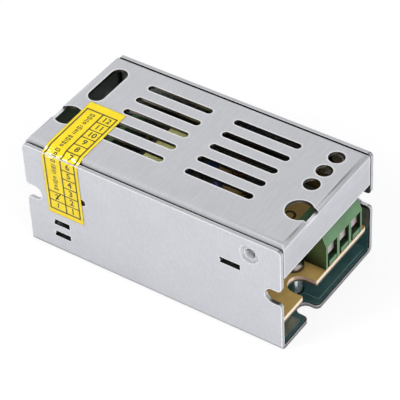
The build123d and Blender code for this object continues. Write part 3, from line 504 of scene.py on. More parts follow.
def moulded(name, colour, roughness=0.45, scale=1500.0, bump=0.15, edge=1.25, depth=1.6, shaded_flank=None):
    """Moulded, dipped or wrapped plastic with painted shade in its cavities; the flank colour is painted
    shade for the faces that look along -Y.
    """
    material, tree, shader = new_material(name, roughness)
    shader.inputs["Specular IOR Level"].default_value = 0.3
    skin = use_group(tree, MOULDING_GROUP, Scale=scale)
    dark = tuple(c * (1 - MOULDED_SPREAD) for c in colour)
    light = tuple(min(1.0, c * (1 + MOULDED_SPREAD)) for c in colour)
    base = mix_colours(tree, spread(tree, skin.outputs["Tone"]), dark, light)
    if shaded_flank:
        base = mix_colours(tree, face_mask(tree, 1, *SHADED_FACING), base, shaded_flank)
    wear = use_group(tree, EDGE_GROUP, Radius=0.15 * MM)
    worn = tuple(min(1.0, c * edge + 0.01) for c in colour)
    base = mix_colours(tree, wear.outputs["Mask"], base, worn)
    tree.links.new(shade_cavities(tree, base, 5 * MM, depth), shader.inputs["Base Color"])
    rough = spread(tree, skin.outputs["Height"], roughness - 0.06, roughness + 0.06)
    tree.links.new(rough, shader.inputs["Roughness"])
    add_bump(tree, shader, skin.outputs["Height"], bump, 0.02 * MM)
    return material


def plated(name, colour, roughness=0.25, edge_colour=(0.9, 0.9, 0.88), depth=1.4):
    """Small plated metal piece, with painted shade in its cavities."""
    material, tree, shader = new_material(name, roughness, 1.0)
    grain = use_group(tree, GRAIN_GROUP, Streaks=0.3, Mottle=0.6)
    dark = tuple(c * 0.85 for c in colour)
    base = mix_colours(tree, spread(tree, grain.outputs["Tone"]), dark, colour)
    wear = use_group(tree, EDGE_GROUP, Radius=0.1 * MM)
    base = mix_colours(tree, wear.outputs["Mask"], base, edge_colour)
    tree.links.new(shade_cavities(tree, base, 3 * MM, depth), shader.inputs["Base Color"])
    rough = spread(tree, grain.outputs["Tone"], roughness - 0.04, roughness + 0.06)
    tree.links.new(rough, shader.inputs["Roughness"])
    add_bump(tree, shader, grain.outputs["Height"], 0.04, 0.01 * MM)
    return material


def face_mask(tree, axis, low, high):
    """0 where the normal's part along an axis is at low, 1 at high; low may be the larger one."""
    node = tree.nodes.new("ShaderNodeMapRange")
    node.inputs["From Min"].default_value = low
    node.inputs["From Max"].default_value = high
    tree.links.new(face_normal(tree)[1][axis], node.inputs["Value"])
    return node.outputs["Result"]


def board_laminate():
    """Ochre laminate: mottled top with painted light on its middle, darker underside, pale layered cut edge
    that darkens towards the bottom, partly as painted shade, and painted shade where that edge runs
    lengthwise.
    """
    material, tree, shader = new_material("board_laminate", 0.42)
    axes = object_place(tree)[1]
    facing = face_normal(tree)[1]
    weave = stretched_noise(tree, EVEN, 900.0, 4.0)
    slow = stretched_noise(tree, EVEN, 90.0, 2.0)
    top = mix_colours(tree, spread(tree, weave), (0.400, 0.268, 0.082), (0.480, 0.325, 0.108))
    top = mix_colours(tree, spread(tree, slow, 0.0, 0.35), top, (0.350, 0.225, 0.062))
    # Painted light: the middle of the top is lighter than its ends.
    ends = ramp(tree, size_of(tree, axes[0]), *PAINTED_LIGHT_BOARD)
    top = mix_colours(tree, math_node(tree, "SUBTRACT", 1.0, ends), top, (0.74, 0.49, 0.17))
    flat = mix_colours(tree, face_mask(tree, 2, -0.5, 0.5), (0.30, 0.19, 0.07), top)
    layers = stretched_noise(tree, (0.12, 0.12, 9.0), 500.0, 2.0)
    edge = mix_colours(tree, spread(tree, layers), (0.70, 0.53, 0.38), (0.85, 0.72, 0.585))
    # Darker bottom of the cut edge, partly painted shade.
    edge = mix_colours(tree, ramp(tree, axes[2], *CUT_EDGE_DARKENING), (0.12, 0.10, 0.065), edge)
    # Painted shade where the cut edge runs lengthwise.
    lengthwise_shade = mix_colours(tree, 1.0, edge, (0.48, 0.41, 0.38), "MULTIPLY")
    edge = mix_colours(tree, ramp(tree, size_of(tree, facing[0]), 0.80, 0.95), lengthwise_shade, edge)
    steep = under(tree, size_of(tree, facing[2]), 0.5)
    base = mix_colours(tree, steep, flat, edge)
    tree.links.new(shade_cavities(tree, base, 2 * MM, 1.0), shader.inputs["Base Color"])
    tree.links.new(spread(tree, weave, 0.36, 0.5), shader.inputs["Roughness"])
    add_bump(tree, shader, weave, 0.1, 0.02 * MM)
    return material


def insulation_sheet():
    """Dark glossy film with faint scuffs, paler by painted light on the end tabs and with a painted
    reflection up the far wall.
    """
    material, tree, shader = new_material("insulation_sheet", 0.16)
    axes = object_place(tree)[1]
    slow = stretched_noise(tree, EVEN, 160.0, 3.0)
    scuffs = stretched_noise(tree, (6.0, 0.7, 1.0), 420.0, 3.0)
    base = mix_colours(tree, spread(tree, slow), (0.018, 0.050, 0.052), (0.042, 0.098, 0.102))
    patches = ramp(tree, stretched_noise(tree, EVEN, 150.0, 4.0), 0.60, 0.72, 0.8)
    base = mix_colours(tree, patches, base, (0.115, 0.140, 0.140))
    # Painted light on the end tabs.
    ends = between(tree, size_of(tree, axes[0]), CREASE_START * MM, CREASE_X * MM)
    tab = all_of(tree, ends, between(tree, axes[1], *FILM_TAB), under(tree, axes[2], FILM_TAB_TOP))
    base = mix_colours(tree, tab, base, (0.105, 0.112, 0.080))
    # Painted reflection up the far wall.
    upper = all_of(tree, over(tree, axes[1], FILM_FAR_WALL), ramp(tree, axes[2], *FILM_PALES))
    base = mix_colours(tree, upper, base, (0.062, 0.068, 0.052))
    tree.links.new(base, shader.inputs["Base Color"])
    tree.links.new(spread(tree, scuffs, 0.10, 0.24), shader.inputs["Roughness"])
    shader.inputs["Coat Weight"].default_value = 0.4
    shader.inputs["Coat Roughness"].default_value = 0.08
    add_bump(tree, shader, slow, 0.25, 0.1 * MM)
    return material


def fuse_skin():
    """Glass tube between two plated caps."""
    material, tree, shader = new_material("fuse_body", 0.2)
    slow = stretched_noise(tree, EVEN, 300.0, 2.0)
    from_middle = size_of(tree, math_node(tree, "SUBTRACT", object_place(tree)[1][0], FUSE_X))
    cap = over(tree, from_middle, FUSE_GLASS)
    glass = mix_colours(tree, spread(tree, slow), (0.30, 0.33, 0.31), (0.42, 0.45, 0.42))
    tree.links.new(mix_colours(tree, cap, glass, (0.66, 0.66, 0.66)), shader.inputs["Base Color"])
    tree.links.new(cap, shader.inputs["Metallic"])
    tree.links.new(spread(tree, slow, 0.12, 0.28), shader.inputs["Roughness"])
    return material


def label_film():
    """Yellow glossy label: painted shade on the wall part, pale cracks and painted glints at the fold, worn
    along its edges.
    """
    material, tree, shader = new_material("label_film", 0.34)
    shader.inputs["Specular IOR Level"].default_value = 0.25
    axes = object_place(tree)[1]
    slow = stretched_noise(tree, EVEN, 260.0, 3.0)
    fibre = stretched_noise(tree, EVEN, 2400.0, 3.0)
    base = mix_colours(tree, spread(tree, slow), (0.67, 0.505, 0.008), (0.76, 0.585, 0.014))
    # Pale cracks at the fold, partly painted glints.
    fold = ramp(tree, axes[2], *LABEL_FOLD)
    behind = ramp(tree, axes[1], *LABEL_BEHIND)
    flecks = over(tree, stretched_noise(tree, (0.6, 1.6, 1.6), 900.0, 3.0), 0.56)
    cracks_and_glints = math_node(tree, "MULTIPLY", flecks, math_node(tree, "SUBTRACT", fold, behind, clamp=True))
    base = mix_colours(tree, cracks_and_glints, base, (0.95, 0.88, 0.55))
    # Painted shade on the part on the wall.
    shaded = mix_colours(tree, 1.0, base, (0.83, 0.82, 0.84), "MULTIPLY")
    base = mix_colours(tree, face_mask(tree, 1, *SHADED_FACING), base, shaded)
    wear = use_group(tree, EDGE_GROUP, Radius=0.12 * MM)
    worn = math_node(tree, "MULTIPLY", wear.outputs["Mask"], 0.5)
    tree.links.new(mix_colours(tree, worn, base, (0.95, 0.86, 0.45)), shader.inputs["Base Color"])
    tree.links.new(spread(tree, slow, 0.26, 0.42), shader.inputs["Roughness"])
    add_bump(tree, shader, fibre, 0.12, 0.02 * MM)
    return material


def wrapped_tape(name, colour):
    """Glossy tape in overlapping turns, on the coil and on the core."""
    material, tree, shader = new_material(name, 0.3)
    slow = stretched_noise(tree, EVEN, 320.0, 3.0)
    turns = stretched_noise(tree, (6.0, 0.2, 0.2), 260.0, 1.0)
    dark = tuple(c * 0.82 for c in colour)
    tree.links.new(mix_colours(tree, spread(tree, slow), dark, colour), shader.inputs["Base Color"])
    tree.links.new(spread(tree, slow, 0.22, 0.40), shader.inputs["Roughness"])
    add_bump(tree, shader, turns, 0.4, 0.1 * MM)
    return material


def capacitor_film():
    """Shrunk sleeve: navy, with one pale stripe that carries short dashes."""
    material, tree, shader = new_material("capacitor_film", 0.28)
    slow = stretched_noise(tree, EVEN, 300.0, 3.0)
    facing = face_normal(tree)[1]
    wave = math_node(tree, "SINE", math_node(tree, "MULTIPLY", object_place(tree)[1][2], DASH_RATE))
    dash = all_of(tree, over(tree, facing[1], DASH_FACING), over(tree, wave, DASH_LEVEL))
    navy = mix_colours(tree, spread(tree, slow), (0.012, 0.022, 0.095), (0.020, 0.034, 0.130))
    striped = mix_colours(tree, over(tree, facing[1], STRIPE_FACING), navy, (0.42, 0.47, 0.55))
    tree.links.new(mix_colours(tree, dash, striped, (0.02, 0.03, 0.10)), shader.inputs["Base Color"])
    tree.links.new(spread(tree, slow, 0.22, 0.34), shader.inputs["Roughness"])
    return material


def resistor_lacquer():
    """Lacquered body with colour bands."""
    material, tree, shader = new_material("resistor_lacquer", 0.3)
    slow = stretched_noise(tree, EVEN, 400.0, 2.0)
    along = math_node(tree, "MULTIPLY", object_place(tree)[1][0], 1 / BAND_PITCH)
    band = under(tree, math_node(tree, "FRACT", along), BAND_SHARE)
    body = mix_colours(tree, spread(tree, slow), (0.40, 0.28, 0.15), (0.50, 0.37, 0.22))
    hues = stretched_noise(tree, (1, 0.01, 0.01), 700.0, 0.0)
    hue = mix_colours(tree, hues, (0.25, 0.04, 0.02), (0.03, 0.02, 0.02))
    tree.links.new(mix_colours(tree, band, body, hue), shader.inputs["Base Color"])
    tree.links.new(spread(tree, slow, 0.22, 0.38), shader.inputs["Roughness"])
    return material


def print_ink():
    """Dark printing ink, slightly uneven."""
    material, tree, shader = new_material("print_ink", 0.5)
    slow = stretched_noise(tree, EVEN, 1800.0, 2.0)
    base = mix_colours(tree, spread(tree, slow), (0.050, 0.041, 0.008), (0.105, 0.086, 0.014))
    tree.links.new(base, shader.inputs["Base Color"])
    return material


MATERIALS = {
    # Their rims: edges lighter by wear and by painted highlight, widest on the cover.
    "case_metal": sheet_metal("case_metal", (0.533, 0.538, 0.563), 0.38 * MM, shade_slits=True),
    "cover_metal": sheet_metal("cover_metal", (0.590, 0.595, 0.626), 0.80 * MM),
    "film": insulation_sheet(),
    "label": label_film(),
    "plated_steel": plated("plated_steel", (0.96, 0.98, 1.0), 0.12, depth=0.1),
    # Screw head: lighter colour and bright edges, partly painted highlight.
    "screw_head": plated("screw_head", (0.46, 0.39, 0.36), 0.2, (0.95, 0.86, 0.82), depth=2.4),
    "board": board_laminate(),
    # Terminal: the flank colour is painted shade on the sides that look along -Y.
    "terminal_plastic": moulded(
        "terminal_plastic", (0.095, 0.190, 0.092), 0.42, edge=1.8, depth=3.0, shaded_flank=(0.060, 0.090, 0.030)
    ),
    "tinned_brass": plated("tinned_brass", (0.62, 0.58, 0.52), 0.35),
    "ferrite": moulded("ferrite", (0.035, 0.035, 0.038), 0.62, 2600.0, 0.35),
    "bobbin_plastic": moulded("bobbin_plastic", (0.022, 0.022, 0.024), 0.4),
    # Winding tape: made lighter than its own colour as painted light, since the coil sits in shadow.
    "winding_tape": wrapped_tape("winding_tape", (0.86, 0.84, 0.34)),
    "core_tape": wrapped_tape("core_tape", (0.022, 0.050, 0.160)),
    "enamelled_wire": plated("enamelled_wire", (0.50, 0.17, 0.05), 0.3, (0.62, 0.28, 0.12)),
    "fuse_body": fuse_skin(),
    "diode_body": moulded("diode_body", (0.022, 0.022, 0.024), 0.42),
    "resistor_body": resistor_lacquer(),
    "thermistor_body": moulded("thermistor_body", (0.030, 0.055, 0.035), 0.5, 1200.0, 0.3),
    "disc_capacitor_body": moulded("disc_capacitor_body", (0.03, 0.10, 0.30), 0.28, 900.0, 0.3),
    "film_capacitor_body": moulded("film_capacitor_body", (0.30, 0.08, 0.03), 0.28, 900.0, 0.3),
    "chip_body": moulded("chip_body", (0.020, 0.020, 0.021), 0.48),
    "optocoupler_body": moulded("optocoupler_body", (0.62, 0.61, 0.56), 0.45),
    "clamp_metal": plated("clamp_metal", (0.66, 0.56, 0.56), 0.3),
    "screw_steel": plated("screw_steel", (0.60, 0.60, 0.58), 0.28),
    # Cans: painted dark as shade, since little light reaches their tops.
    "can_metal": plated("can_metal", (0.13, 0.13, 0.14), 0.5, (0.30, 0.30, 0.32)),
    "capacitor_sleeve": capacitor_film(),
    "ink": print_ink(),
    "solder": plated("solder", (0.58, 0.58, 0.60), 0.24),
    "crease": moulded("film_crease", (0.115, 0.165, 0.172), 0.3, 900.0),
}


# Nodes that look different from the rest of their slot
OWN_MATERIAL = {"board_screw": "screw_head"}


def dress_nodes():
    """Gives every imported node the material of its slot, or its own."""
    for entry in frame["record"]["subparts"]:
        mesh = nodes[entry["node"]].data
        mesh.materials.clear()
        mesh.materials.append(MATERIALS[OWN_MATERIAL.get(entry["node"], entry["material_slot"])])


def soften_edges(node):
    """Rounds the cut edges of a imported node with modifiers."""
    weld = node.modifiers.new("weld", "WELD")
    weld.merge_threshold = WELD_REACH
    bevel = node.modifiers.new("edges", "BEVEL")
    bevel.width = EDGE_ROUND
    bevel.segments = 2
    bevel.limit_method = "ANGLE"
    bevel.angle_limit = EDGE_ANGLE
    bevel.harden_normals = True
    bevel.use_clamp_overlap = True


# Pieces

def mesh_piece(name, bm, material, smooth=True):
    """Turns a bmesh into a piece that rides on the case."""
    mesh = bpy.data.meshes.new(name)
    bm.to_mesh(mesh)
    bm.free()
    mesh.materials.append(MATERIALS[material])
    for face in mesh.polygons:
        face.use_smooth = smooth
    piece = bpy.data.objects.new(name, mesh)
    bpy.context.scene.collection.objects.link(piece)
    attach(piece, CASE)
    return piece


def path_lengths():
    """Running length of the label's path at each of its points."""
    lengths = [0.0]
    for (y0, z0), (y1, z1) in zip(LABEL_PATH, LABEL_PATH[1:]):
        lengths.append(lengths[-1] + math.hypot(y1 - y0, z1 - z0) * MM)
    return lengths


PATH_LENGTHS = path_lengths()
LABEL_LENGTH = PATH_LENGTHS[-1]


def crinkle(x, s):
    """Small folds where the label bends over the edge."""
    near = max(0.0, 1.0 - abs(s - FOLD_MIDDLE) / FOLD_REACH)
    waves = math.sin(x * 2600 + s * 900) + 0.7 * math.sin(x * 5200 - s * 2100 + 1.3)
    waves += 0.5 * math.sin(s * 5200 + x * 700)
    return -CRINKLE_DEPTH * near * (1.0 + 0.5 * waves)


def label_point(x, s, lift):
    """Place on the label at x across and s along, lifted off the metal."""
    s = min(max(s, 0.0), LABEL_LENGTH)
    index = max(i for i, length in enumerate(PATH_LENGTHS[:-1]) if length <= s + 1e-12)
    (y0, z0), (y1, z1) = LABEL_PATH[index], LABEL_PATH[index + 1]
    span = PATH_LENGTHS[index + 1] - PATH_LENGTHS[index]
    share = (s - PATH_LENGTHS[index]) / span
    along = Vector((0, y1 - y0, z1 - z0)).normalized()
    out = Vector((0, -along.z, along.y))
    place = Vector((x, (y0 + (y1 - y0) * share) * MM, (z0 + (z1 - z0) * share) * MM))
    return place + out * (lift + crinkle(x, s))


def lay_on_label(bm, lift):
    """Moves a flat mesh, x across and y along, onto the label's surface."""
    for vert in bm.verts:
        lean = LABEL_LEAN * (0.52 - vert.co.y / LABEL_LENGTH)
        vert.co = label_point(LABEL_X + vert.co.x + lean, vert.co.y, lift)


def flat_grid(bm, x0, x1, y0, y1, pitch):
    """Adds a flat rectangle divided into small faces."""
    columns = max(1, math.ceil((x1 - x0) / pitch))
    rows = max(1, math.ceil((y1 - y0) / pitch))
    place = Matrix.Translation(((x0 + x1) / 2, (y0 + y1) / 2, 0)) @ Matrix.Diagonal((x1 - x0, y1 - y0, 1, 1))
    bmesh.ops.create_grid(bm, x_segments=columns, y_segments=rows, size=0.5, matrix=place)


def make_label():
    """Label sheet, folded over the edge and slightly crinkled there."""
    bm = bmesh.new()
    flat_grid(bm, -LABEL_WIDTH / 2, LABEL_WIDTH / 2, 0, LABEL_LENGTH, LABEL_PITCH)
    lay_on_label(bm, LABEL_LIFT)
    piece = mesh_piece("seal_label_sheet", bm, "label")
    thickness = piece.modifiers.new("sheet", "SOLIDIFY")
    thickness.thickness = LABEL_SHEET
    thickness.offset = -1
    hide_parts("seal_label")


def digit_mesh(text, size):
    """Flat mesh of a plain number, centred on the origin."""
    curve = bpy.data.curves.new("number", "FONT")
    curve.body = text
    curve.size = size
    curve.align_x = "CENTER"
    curve.align_y = "CENTER"
    curve.resolution_u = 3
    curve.offset = 0.07 * MM
    holder = bpy.data.objects.new("number", curve)
    mesh = bpy.data.meshes.new_from_object(holder)
    bpy.data.objects.remove(holder)
    bpy.data.curves.remove(curve)
    return mesh


def add_number(bm, text, size, x, y):
    """Adds a plain number to a flat mesh."""
    mesh = digit_mesh(text, size)
    mesh.transform(Matrix.Translation((x, y, 0)))
    bm.from_mesh(mesh)
    bpy.data.meshes.remove(mesh)


def month_edges(bottom, top):
    """Ends of the month cells: a wider pitch on the cover than on the wall."""
    pitch = WIDER_ON_COVER * (top - bottom) / LABEL_MONTHS
    upper = [top - pitch * k for k in range(MONTHS_ON_COVER + 1)]
    on_wall = LABEL_MONTHS - MONTHS_ON_COVER
    rest = (upper[-1] - bottom) / on_wall
    return [bottom + rest * k for k in range(on_wall)] + upper[::-1]


def add_filler(bm, x, low, high):
    """Row of simple upright shapes, bars and open boxes, where a printed line would be."""
    dice = random.Random(7)
    half, pen = 0.66 * MM, 0.25 * MM
    y = low
    count = 0
    while y < high:
        width = dice.choice((0.19, 0.62, 0.75)) * MM
        reach = dice.choice((half, half, 0.66 * half))
        flat_grid(bm, x - reach, x + reach, y, y + pen, LABEL_PITCH)
        if width > pen:
            flat_grid(bm, x - reach, x + reach, y + width - pen, y + width, LABEL_PITCH)
            flat_grid(bm, x - reach, x - reach + pen, y + pen, y + width - pen, LABEL_PITCH)
        if width > 0.7 * MM:
            flat_grid(bm, x + reach - pen, x + reach, y + pen, y + width - pen, LABEL_PITCH)
        count += 1
        y += width + (0.8 if count % 5 == 0 else 0.32) * MM


def add_stroke(bm, start, end, width):
    """Adds a straight pen stroke to a flat mesh."""
    start, end = Vector((*start, 0)) * MM, Vector((*end, 0)) * MM
    span = end - start
    turn = Matrix.Rotation(math.atan2(span.y, span.x), 4, "Z")
    place = Matrix.Translation((start + end) / 2) @ turn @ Matrix.Diagonal((span.length, width * MM, 1, 1))
    bmesh.ops.create_grid(bm, x_segments=12, y_segments=1, size=0.5, matrix=place)


def make_label_print():
    """Frame, columns, month cells with plain numbers, and simple shapes in place of words."""
    half = LABEL_WIDTH / 2
    left, right = -half + LABEL_MARGIN, half - LABEL_MARGIN
    bottom, top = LABEL_FOOT, LABEL_LENGTH - LABEL_HEAD
    divider = left + LEFT_COLUMN * (right - left)
    left_middle, right_middle = (left + divider) / 2, (divider + right) / 2
    line = LABEL_LINE / 2
    thin = line * 0.8
    edges = month_edges(bottom, top)
    bm = bmesh.new()
    for x in (left, divider, right):
        flat_grid(bm, x - line, x + line, bottom - line, top + line, LABEL_PITCH)
    for y in (bottom, top):
        flat_grid(bm, left, right, y - line, y + line, LABEL_PITCH)
    for y in edges[1:-1]:
        flat_grid(bm, divider, right, y - thin, y + thin, LABEL_PITCH)
    for row in (1, 2):
        flat_grid(bm, left, divider, edges[row] - thin, edges[row] + thin, LABEL_PITCH)
        add_number(bm, str(row), ROW_SIZE, left_middle, (edges[row - 1] + edges[row]) / 2)
    for month in range(LABEL_MONTHS):
        add_number(bm, str(month + 1), MONTH_SIZE, right_middle, (edges[month] + edges[month + 1]) / 2)
    add_stroke(bm, *PEN_STROKE)
    add_filler(bm, left_middle + 0.15 * MM, edges[2] + 0.9 * MM, top - 1.2 * MM)
    bmesh.ops.triangulate(bm, faces=[f for f in bm.faces if len(f.verts) > 4])
    long_edges = [e for e in bm.edges if e.calc_length() > 0.4 * MM]
    bmesh.ops.subdivide_edges(bm, edges=long_edges, cuts=1)
    lay_on_label(bm, LABEL_PRINT_LIFT)
    mesh_piece("seal_label_print", bm, "ink")


def keep_rim(bm, made, line):
    """Keeps only a line's width inside the edge of a flat face that was just made."""
    face = made["verts"][0].link_faces[0]
    bmesh.ops.inset_region(bm, faces=[face], thickness=line, use_even_offset=True, use_boundary=True)
    bmesh.ops.delete(bm, geom=[face], context="FACES_ONLY")


def flat_ring(bm, x, y, outer, line, z):
    """Adds a flat printed ring."""
    place = Matrix.Translation((x, y, z))
    made = bmesh.ops.create_circle(bm, cap_ends=True, segments=32, radius=outer, matrix=place)
    keep_rim(bm, made, line)


def flat_frame(bm, x, y, width, depth, line, z):
    """Adds a flat printed rectangle outline."""
    place = Matrix.Translation((x, y, z)) @ Matrix.Diagonal((width, depth, 1, 1))
    made = bmesh.ops.create_grid(bm, x_segments=1, y_segments=1, size=0.5, matrix=place)
    keep_rim(bm, made, line)


def make_board_print():
    """Printed rings and outlines under the components."""
    bm = bmesh.new()
    level = BOARD_TOP + PRINT_LIFT
    for x, y, outer, line in PRINTED_RINGS:
        flat_ring(bm, x * MM, y * MM, outer * MM, line * MM, level)
    for x, y, width, depth in PRINTED_FRAMES:
        flat_frame(bm, x * MM, y * MM, width * MM, depth * MM, PRINT_LINE, level)
    mesh_piece("board_print", bm, "ink", smooth=False)


def make_creases():
    """Lighter crease lines just inside the film's edges at both ends."""
    bm = bmesh.new()
    half = 0.11 * MM
    for end in (-1, 1):
        for x0, x1, y0, y1 in CREASE_LINES:
            low, high = sorted((end * x0 * MM, end * x1 * MM))
            flat_grid(bm, low - half, high + half, y0 * MM - half, y1 * MM + half, 4 * MM)
    bmesh.ops.translate(bm, verts=bm.verts, vec=(0, 0, FILM_TOP_FACE + PRINT_LIFT))
    mesh_piece("film_creases", bm, "crease", smooth=False)


def lead_ends():
    """Centres of the lead ends under the board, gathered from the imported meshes."""
    leadless = ("chassis", "cover", "insulation_film", "circuit_board", "board_standoff", "board_screw")
    ends = []
    for name, node in nodes.items():
        if name in leadless:
            continue
        for vert in node.data.vertices:
            place = node.matrix_world @ vert.co
            at_end = LEAD_END - 0.3 * MM <= place.z <= LEAD_END + 0.02 * MM
            if not at_end or abs(place.y) > INNER_WALL - MM:
                continue
            flat = Vector((place.x, place.y))
            if all((flat - other).length > LEAD_PITCH for other in ends):
                ends.append(flat)
    return ends


def make_solder():
    """Solder cones round the leads under the board."""
    bm = bmesh.new()
    for flat in lead_ends():
        place = Matrix.Translation((flat.x, flat.y, BOARD_BOTTOM - SOLDER_HEIGHT / 2))
        bmesh.ops.create_cone(bm, cap_ends=True, segments=12, radius1=SOLDER_TIP, radius2=SOLDER_FOOT,
                              depth=SOLDER_HEIGHT, matrix=place)
    mesh_piece("solder_joints", bm, "solder")


def make_tape_layers():
    """Stepped layers of tape round the transformer's coil."""
    bm = bmesh.new()
    turn = Matrix.Rotation(math.radians(90), 4, "Y")
    for length, width, height in TAPE_LAYERS:
        layer = bmesh.new()
        place = Matrix.Diagonal((height * MM, width * MM, 1, 1))
        bmesh.ops.create_grid(layer, x_segments=1, y_segments=1, size=0.5, matrix=place)
        bmesh.ops.bevel(layer, geom=layer.verts[:], offset=TAPE_CORNER, segments=4, profile=0.5,
                        affect="VERTICES")
        layer.faces.ensure_lookup_table()
        face = layer.faces[0]
        bmesh.ops.inset_region(layer, faces=[face], thickness=TAPE_THICKNESS, use_even_offset=True,
                               use_boundary=True)
        bmesh.ops.delete(layer, geom=[face], context="FACES_ONLY")
        sides = bmesh.ops.extrude_face_region(layer, geom=layer.faces[:])
        moved = [v for v in sides["geom"] if isinstance(v, bmesh.types.BMVert)]
        bmesh.ops.translate(layer, verts=moved, vec=(0, 0, length * MM))
        bmesh.ops.translate(layer, verts=layer.verts, vec=(0, 0, -length * MM / 2))
        bmesh.ops.recalc_face_normals(layer, faces=layer.faces)
        mesh = bpy.data.meshes.new("layer")
        layer.to_mesh(mesh)
        layer.free()
        mesh.transform(Matrix.Translation(Vector(COIL_CENTRE) * MM) @ turn)
        bm.from_mesh(mesh)
        bpy.data.meshes.remove(mesh)
    mesh_piece("winding_tape_layers", bm, "winding_tape", smooth=False)


def make_vent_scores():
    """Pressed cross on the top of each can."""
    bm = bmesh.new()
    for name, node in nodes.items():
        if "capacitor_can" not in name:
            continue
        corners = [node.matrix_world @ vert.co for vert in node.data.vertices]
        top = max(c.z for c in corners)
        rim = [c for c in corners if c.z > top - 0.05 * MM]
        left, right = min(c.x for c in rim), max(c.x for c in rim)
        y = (min(c.y for c in rim) + max(c.y for c in rim)) / 2
        middle = Matrix.Translation(((left + right) / 2, y, top - 0.02 * MM))
        arm = Matrix.Diagonal((SCORE_SPAN * (right - left), SCORE_WIDTH, SCORE_HEIGHT, 1))
        for angle in (45, 135):
            place = middle @ Matrix.Rotation(math.radians(angle), 4, "Z") @ arm
            bmesh.ops.create_cube(bm, size=1.0, matrix=place)
    mesh_piece("can_vent_scores", bm, "can_metal", smooth=False)


# Stage

def toward(tree, direction):
    """How far the world's direction agrees with a given one."""
    coords = tree.nodes.new("ShaderNodeTexCoord")
    dot = tree.nodes.new("ShaderNodeVectorMath")
    dot.operation = "DOT_PRODUCT"
    dot.inputs[1].default_value = direction
    tree.links.new(coords.outputs["Generated"], dot.inputs[0])
    return dot.outputs["Value"]


def studio_darkness(tree):
    """How dark the studio is in reflections: a dark panel, a dim one below it, a low band all round."""
    panel = ramp(tree, toward(tree, FAR_HIGH), *DARK_PANEL)
    dim = ramp(tree, toward(tree, FAR_LOW), *DIM_PANEL)
    low = ramp(tree, math_node(tree, "SUBTRACT", LOW_BAND_TOP, toward(tree, (0, 0, 1))), *LOW_BAND)
    return math_node(tree, "MAXIMUM", math_node(tree, "MAXIMUM", panel, dim), low)


def floor_material():
    """Pale floor that the camera sees nearly white, with the object's shadow."""
    material = bpy.data.materials.new("floor")
    material.use_nodes = True
    tree = material.node_tree
    tree.nodes.clear()
    output = tree.nodes.new("ShaderNodeOutputMaterial")
    diffuse = tree.nodes.new("ShaderNodeBsdfDiffuse")
    diffuse.inputs["Color"].default_value = FLOOR_COLOUR
    white = tree.nodes.new("ShaderNodeEmission")
    blend = tree.nodes.new("ShaderNodeMixShader")
    path = tree.nodes.new("ShaderNodeLightPath")
    seen = math_node(tree, "MULTIPLY", path.outputs["Is Camera Ray"], FLOOR_WHITENESS)
    tree.links.new(seen, blend.inputs["Fac"])
    tree.links.new(diffuse.outputs["BSDF"], blend.inputs[1])
    tree.links.new(white.outputs["Emission"], blend.inputs[2])
    tree.links.new(blend.outputs["Shader"], output.inputs["Surface"])
    return material


def make_stage():
    """Pale floor, soft lights and world."""
    bm = bmesh.new()
    bmesh.ops.create_grid(bm, x_segments=1, y_segments=1, size=3.0)
    mesh = bpy.data.meshes.new("floor")
    bm.to_mesh(mesh)
    bm.free()
    mesh.materials.append(floor_material())
    floor = bpy.data.objects.new("floor", mesh)
    bpy.context.scene.collection.objects.link(floor)
    make_world()
    for name, place, size, energy in LAMPS:
        soft_light(name, Vector(place), size, energy)


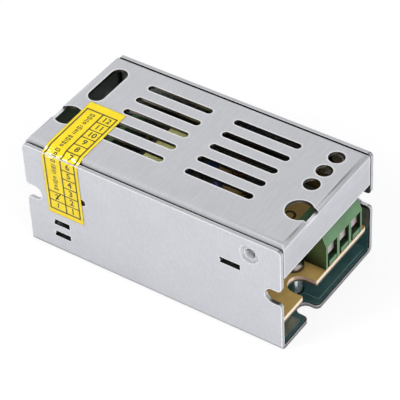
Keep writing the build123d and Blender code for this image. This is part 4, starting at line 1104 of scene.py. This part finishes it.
def make_world():
    """Even light all round; reflections find darker zones between the soft boxes."""
    world = bpy.data.worlds.new("studio")
    bpy.context.scene.world = world
    world.use_nodes = True
    tree = world.node_tree
    tree.nodes.clear()
    output = tree.nodes.new("ShaderNodeOutputWorld")
    light = tree.nodes.new("ShaderNodeBackground")
    light.inputs["Color"].default_value = AMBIENT_COLOUR
    light.inputs["Strength"].default_value = AMBIENT_STRENGTH
    seen = tree.nodes.new("ShaderNodeBackground")
    seen.inputs["Color"].default_value = (1, 1, 1, 1)
    path = tree.nodes.new("ShaderNodeLightPath")
    room = math_node(tree, "MULTIPLY", studio_darkness(tree), path.outputs["Is Glossy Ray"])
    tree.links.new(math_node(tree, "SUBTRACT", 1.0, room), seen.inputs["Strength"])
    blend = tree.nodes.new("ShaderNodeMixShader")
    mask = math_node(tree, "MAXIMUM", path.outputs["Is Camera Ray"], path.outputs["Is Glossy Ray"])
    mask = math_node(tree, "MAXIMUM", mask, path.outputs["Is Transmission Ray"])
    tree.links.new(mask, blend.inputs["Fac"])
    tree.links.new(light.outputs["Background"], blend.inputs[1])
    tree.links.new(seen.outputs["Background"], blend.inputs[2])
    tree.links.new(blend.outputs["Shader"], output.inputs["Surface"])


def soft_light(name, place, size, energy):
    """Square soft box aimed at the object; it lights the part, but reflections show the world alone."""
    data = bpy.data.lights.new(name, "AREA")
    data.shape = "SQUARE"
    data.size = size
    data.energy = energy
    lamp = bpy.data.objects.new(name, data)
    bpy.context.scene.collection.objects.link(lamp)
    lamp.location = place
    # Seen in the metal, the lamps burn out the cover in rear views.
    lamp.visible_glossy = False
    aim = (VIEW_TARGET - place).to_track_quat("-Z", "Y")
    lamp.rotation_euler = aim.to_euler()


def make_camera():
    """Long lens at the photograph's viewing angle."""
    az, el, roll = VIEW_AZIMUTH, VIEW_ELEVATION, VIEW_ROLL
    back = Vector((math.sin(az) * math.cos(el), -math.cos(az) * math.cos(el), math.sin(el)))
    level = Vector((math.cos(az), math.sin(az), 0))
    rise = back.cross(level)
    right = math.cos(roll) * level + math.sin(roll) * rise
    up = -math.sin(roll) * level + math.cos(roll) * rise
    data = bpy.data.cameras.new("camera")
    data.lens = LENS
    data.sensor_width = SENSOR
    data.clip_start = 0.01
    camera = bpy.data.objects.new("camera", data)
    bpy.context.scene.collection.objects.link(camera)
    rotation = Matrix((right, up, back)).transposed().to_4x4()
    place = VIEW_TARGET + back * VIEW_DISTANCE + right * VIEW_SIDE - up * VIEW_DROP
    camera.matrix_world = Matrix.Translation(place) @ rotation
    bpy.context.scene.camera = camera


make_camera()
make_stage()
dress_nodes()
for name in ("chassis", "cover"):
    soften_edges(nodes[name])
make_label()
make_label_print()
make_board_print()
make_creases()
make_solder()
make_tape_layers()
make_vent_scores()
bpy.context.scene.view_settings.view_transform = "Standard"
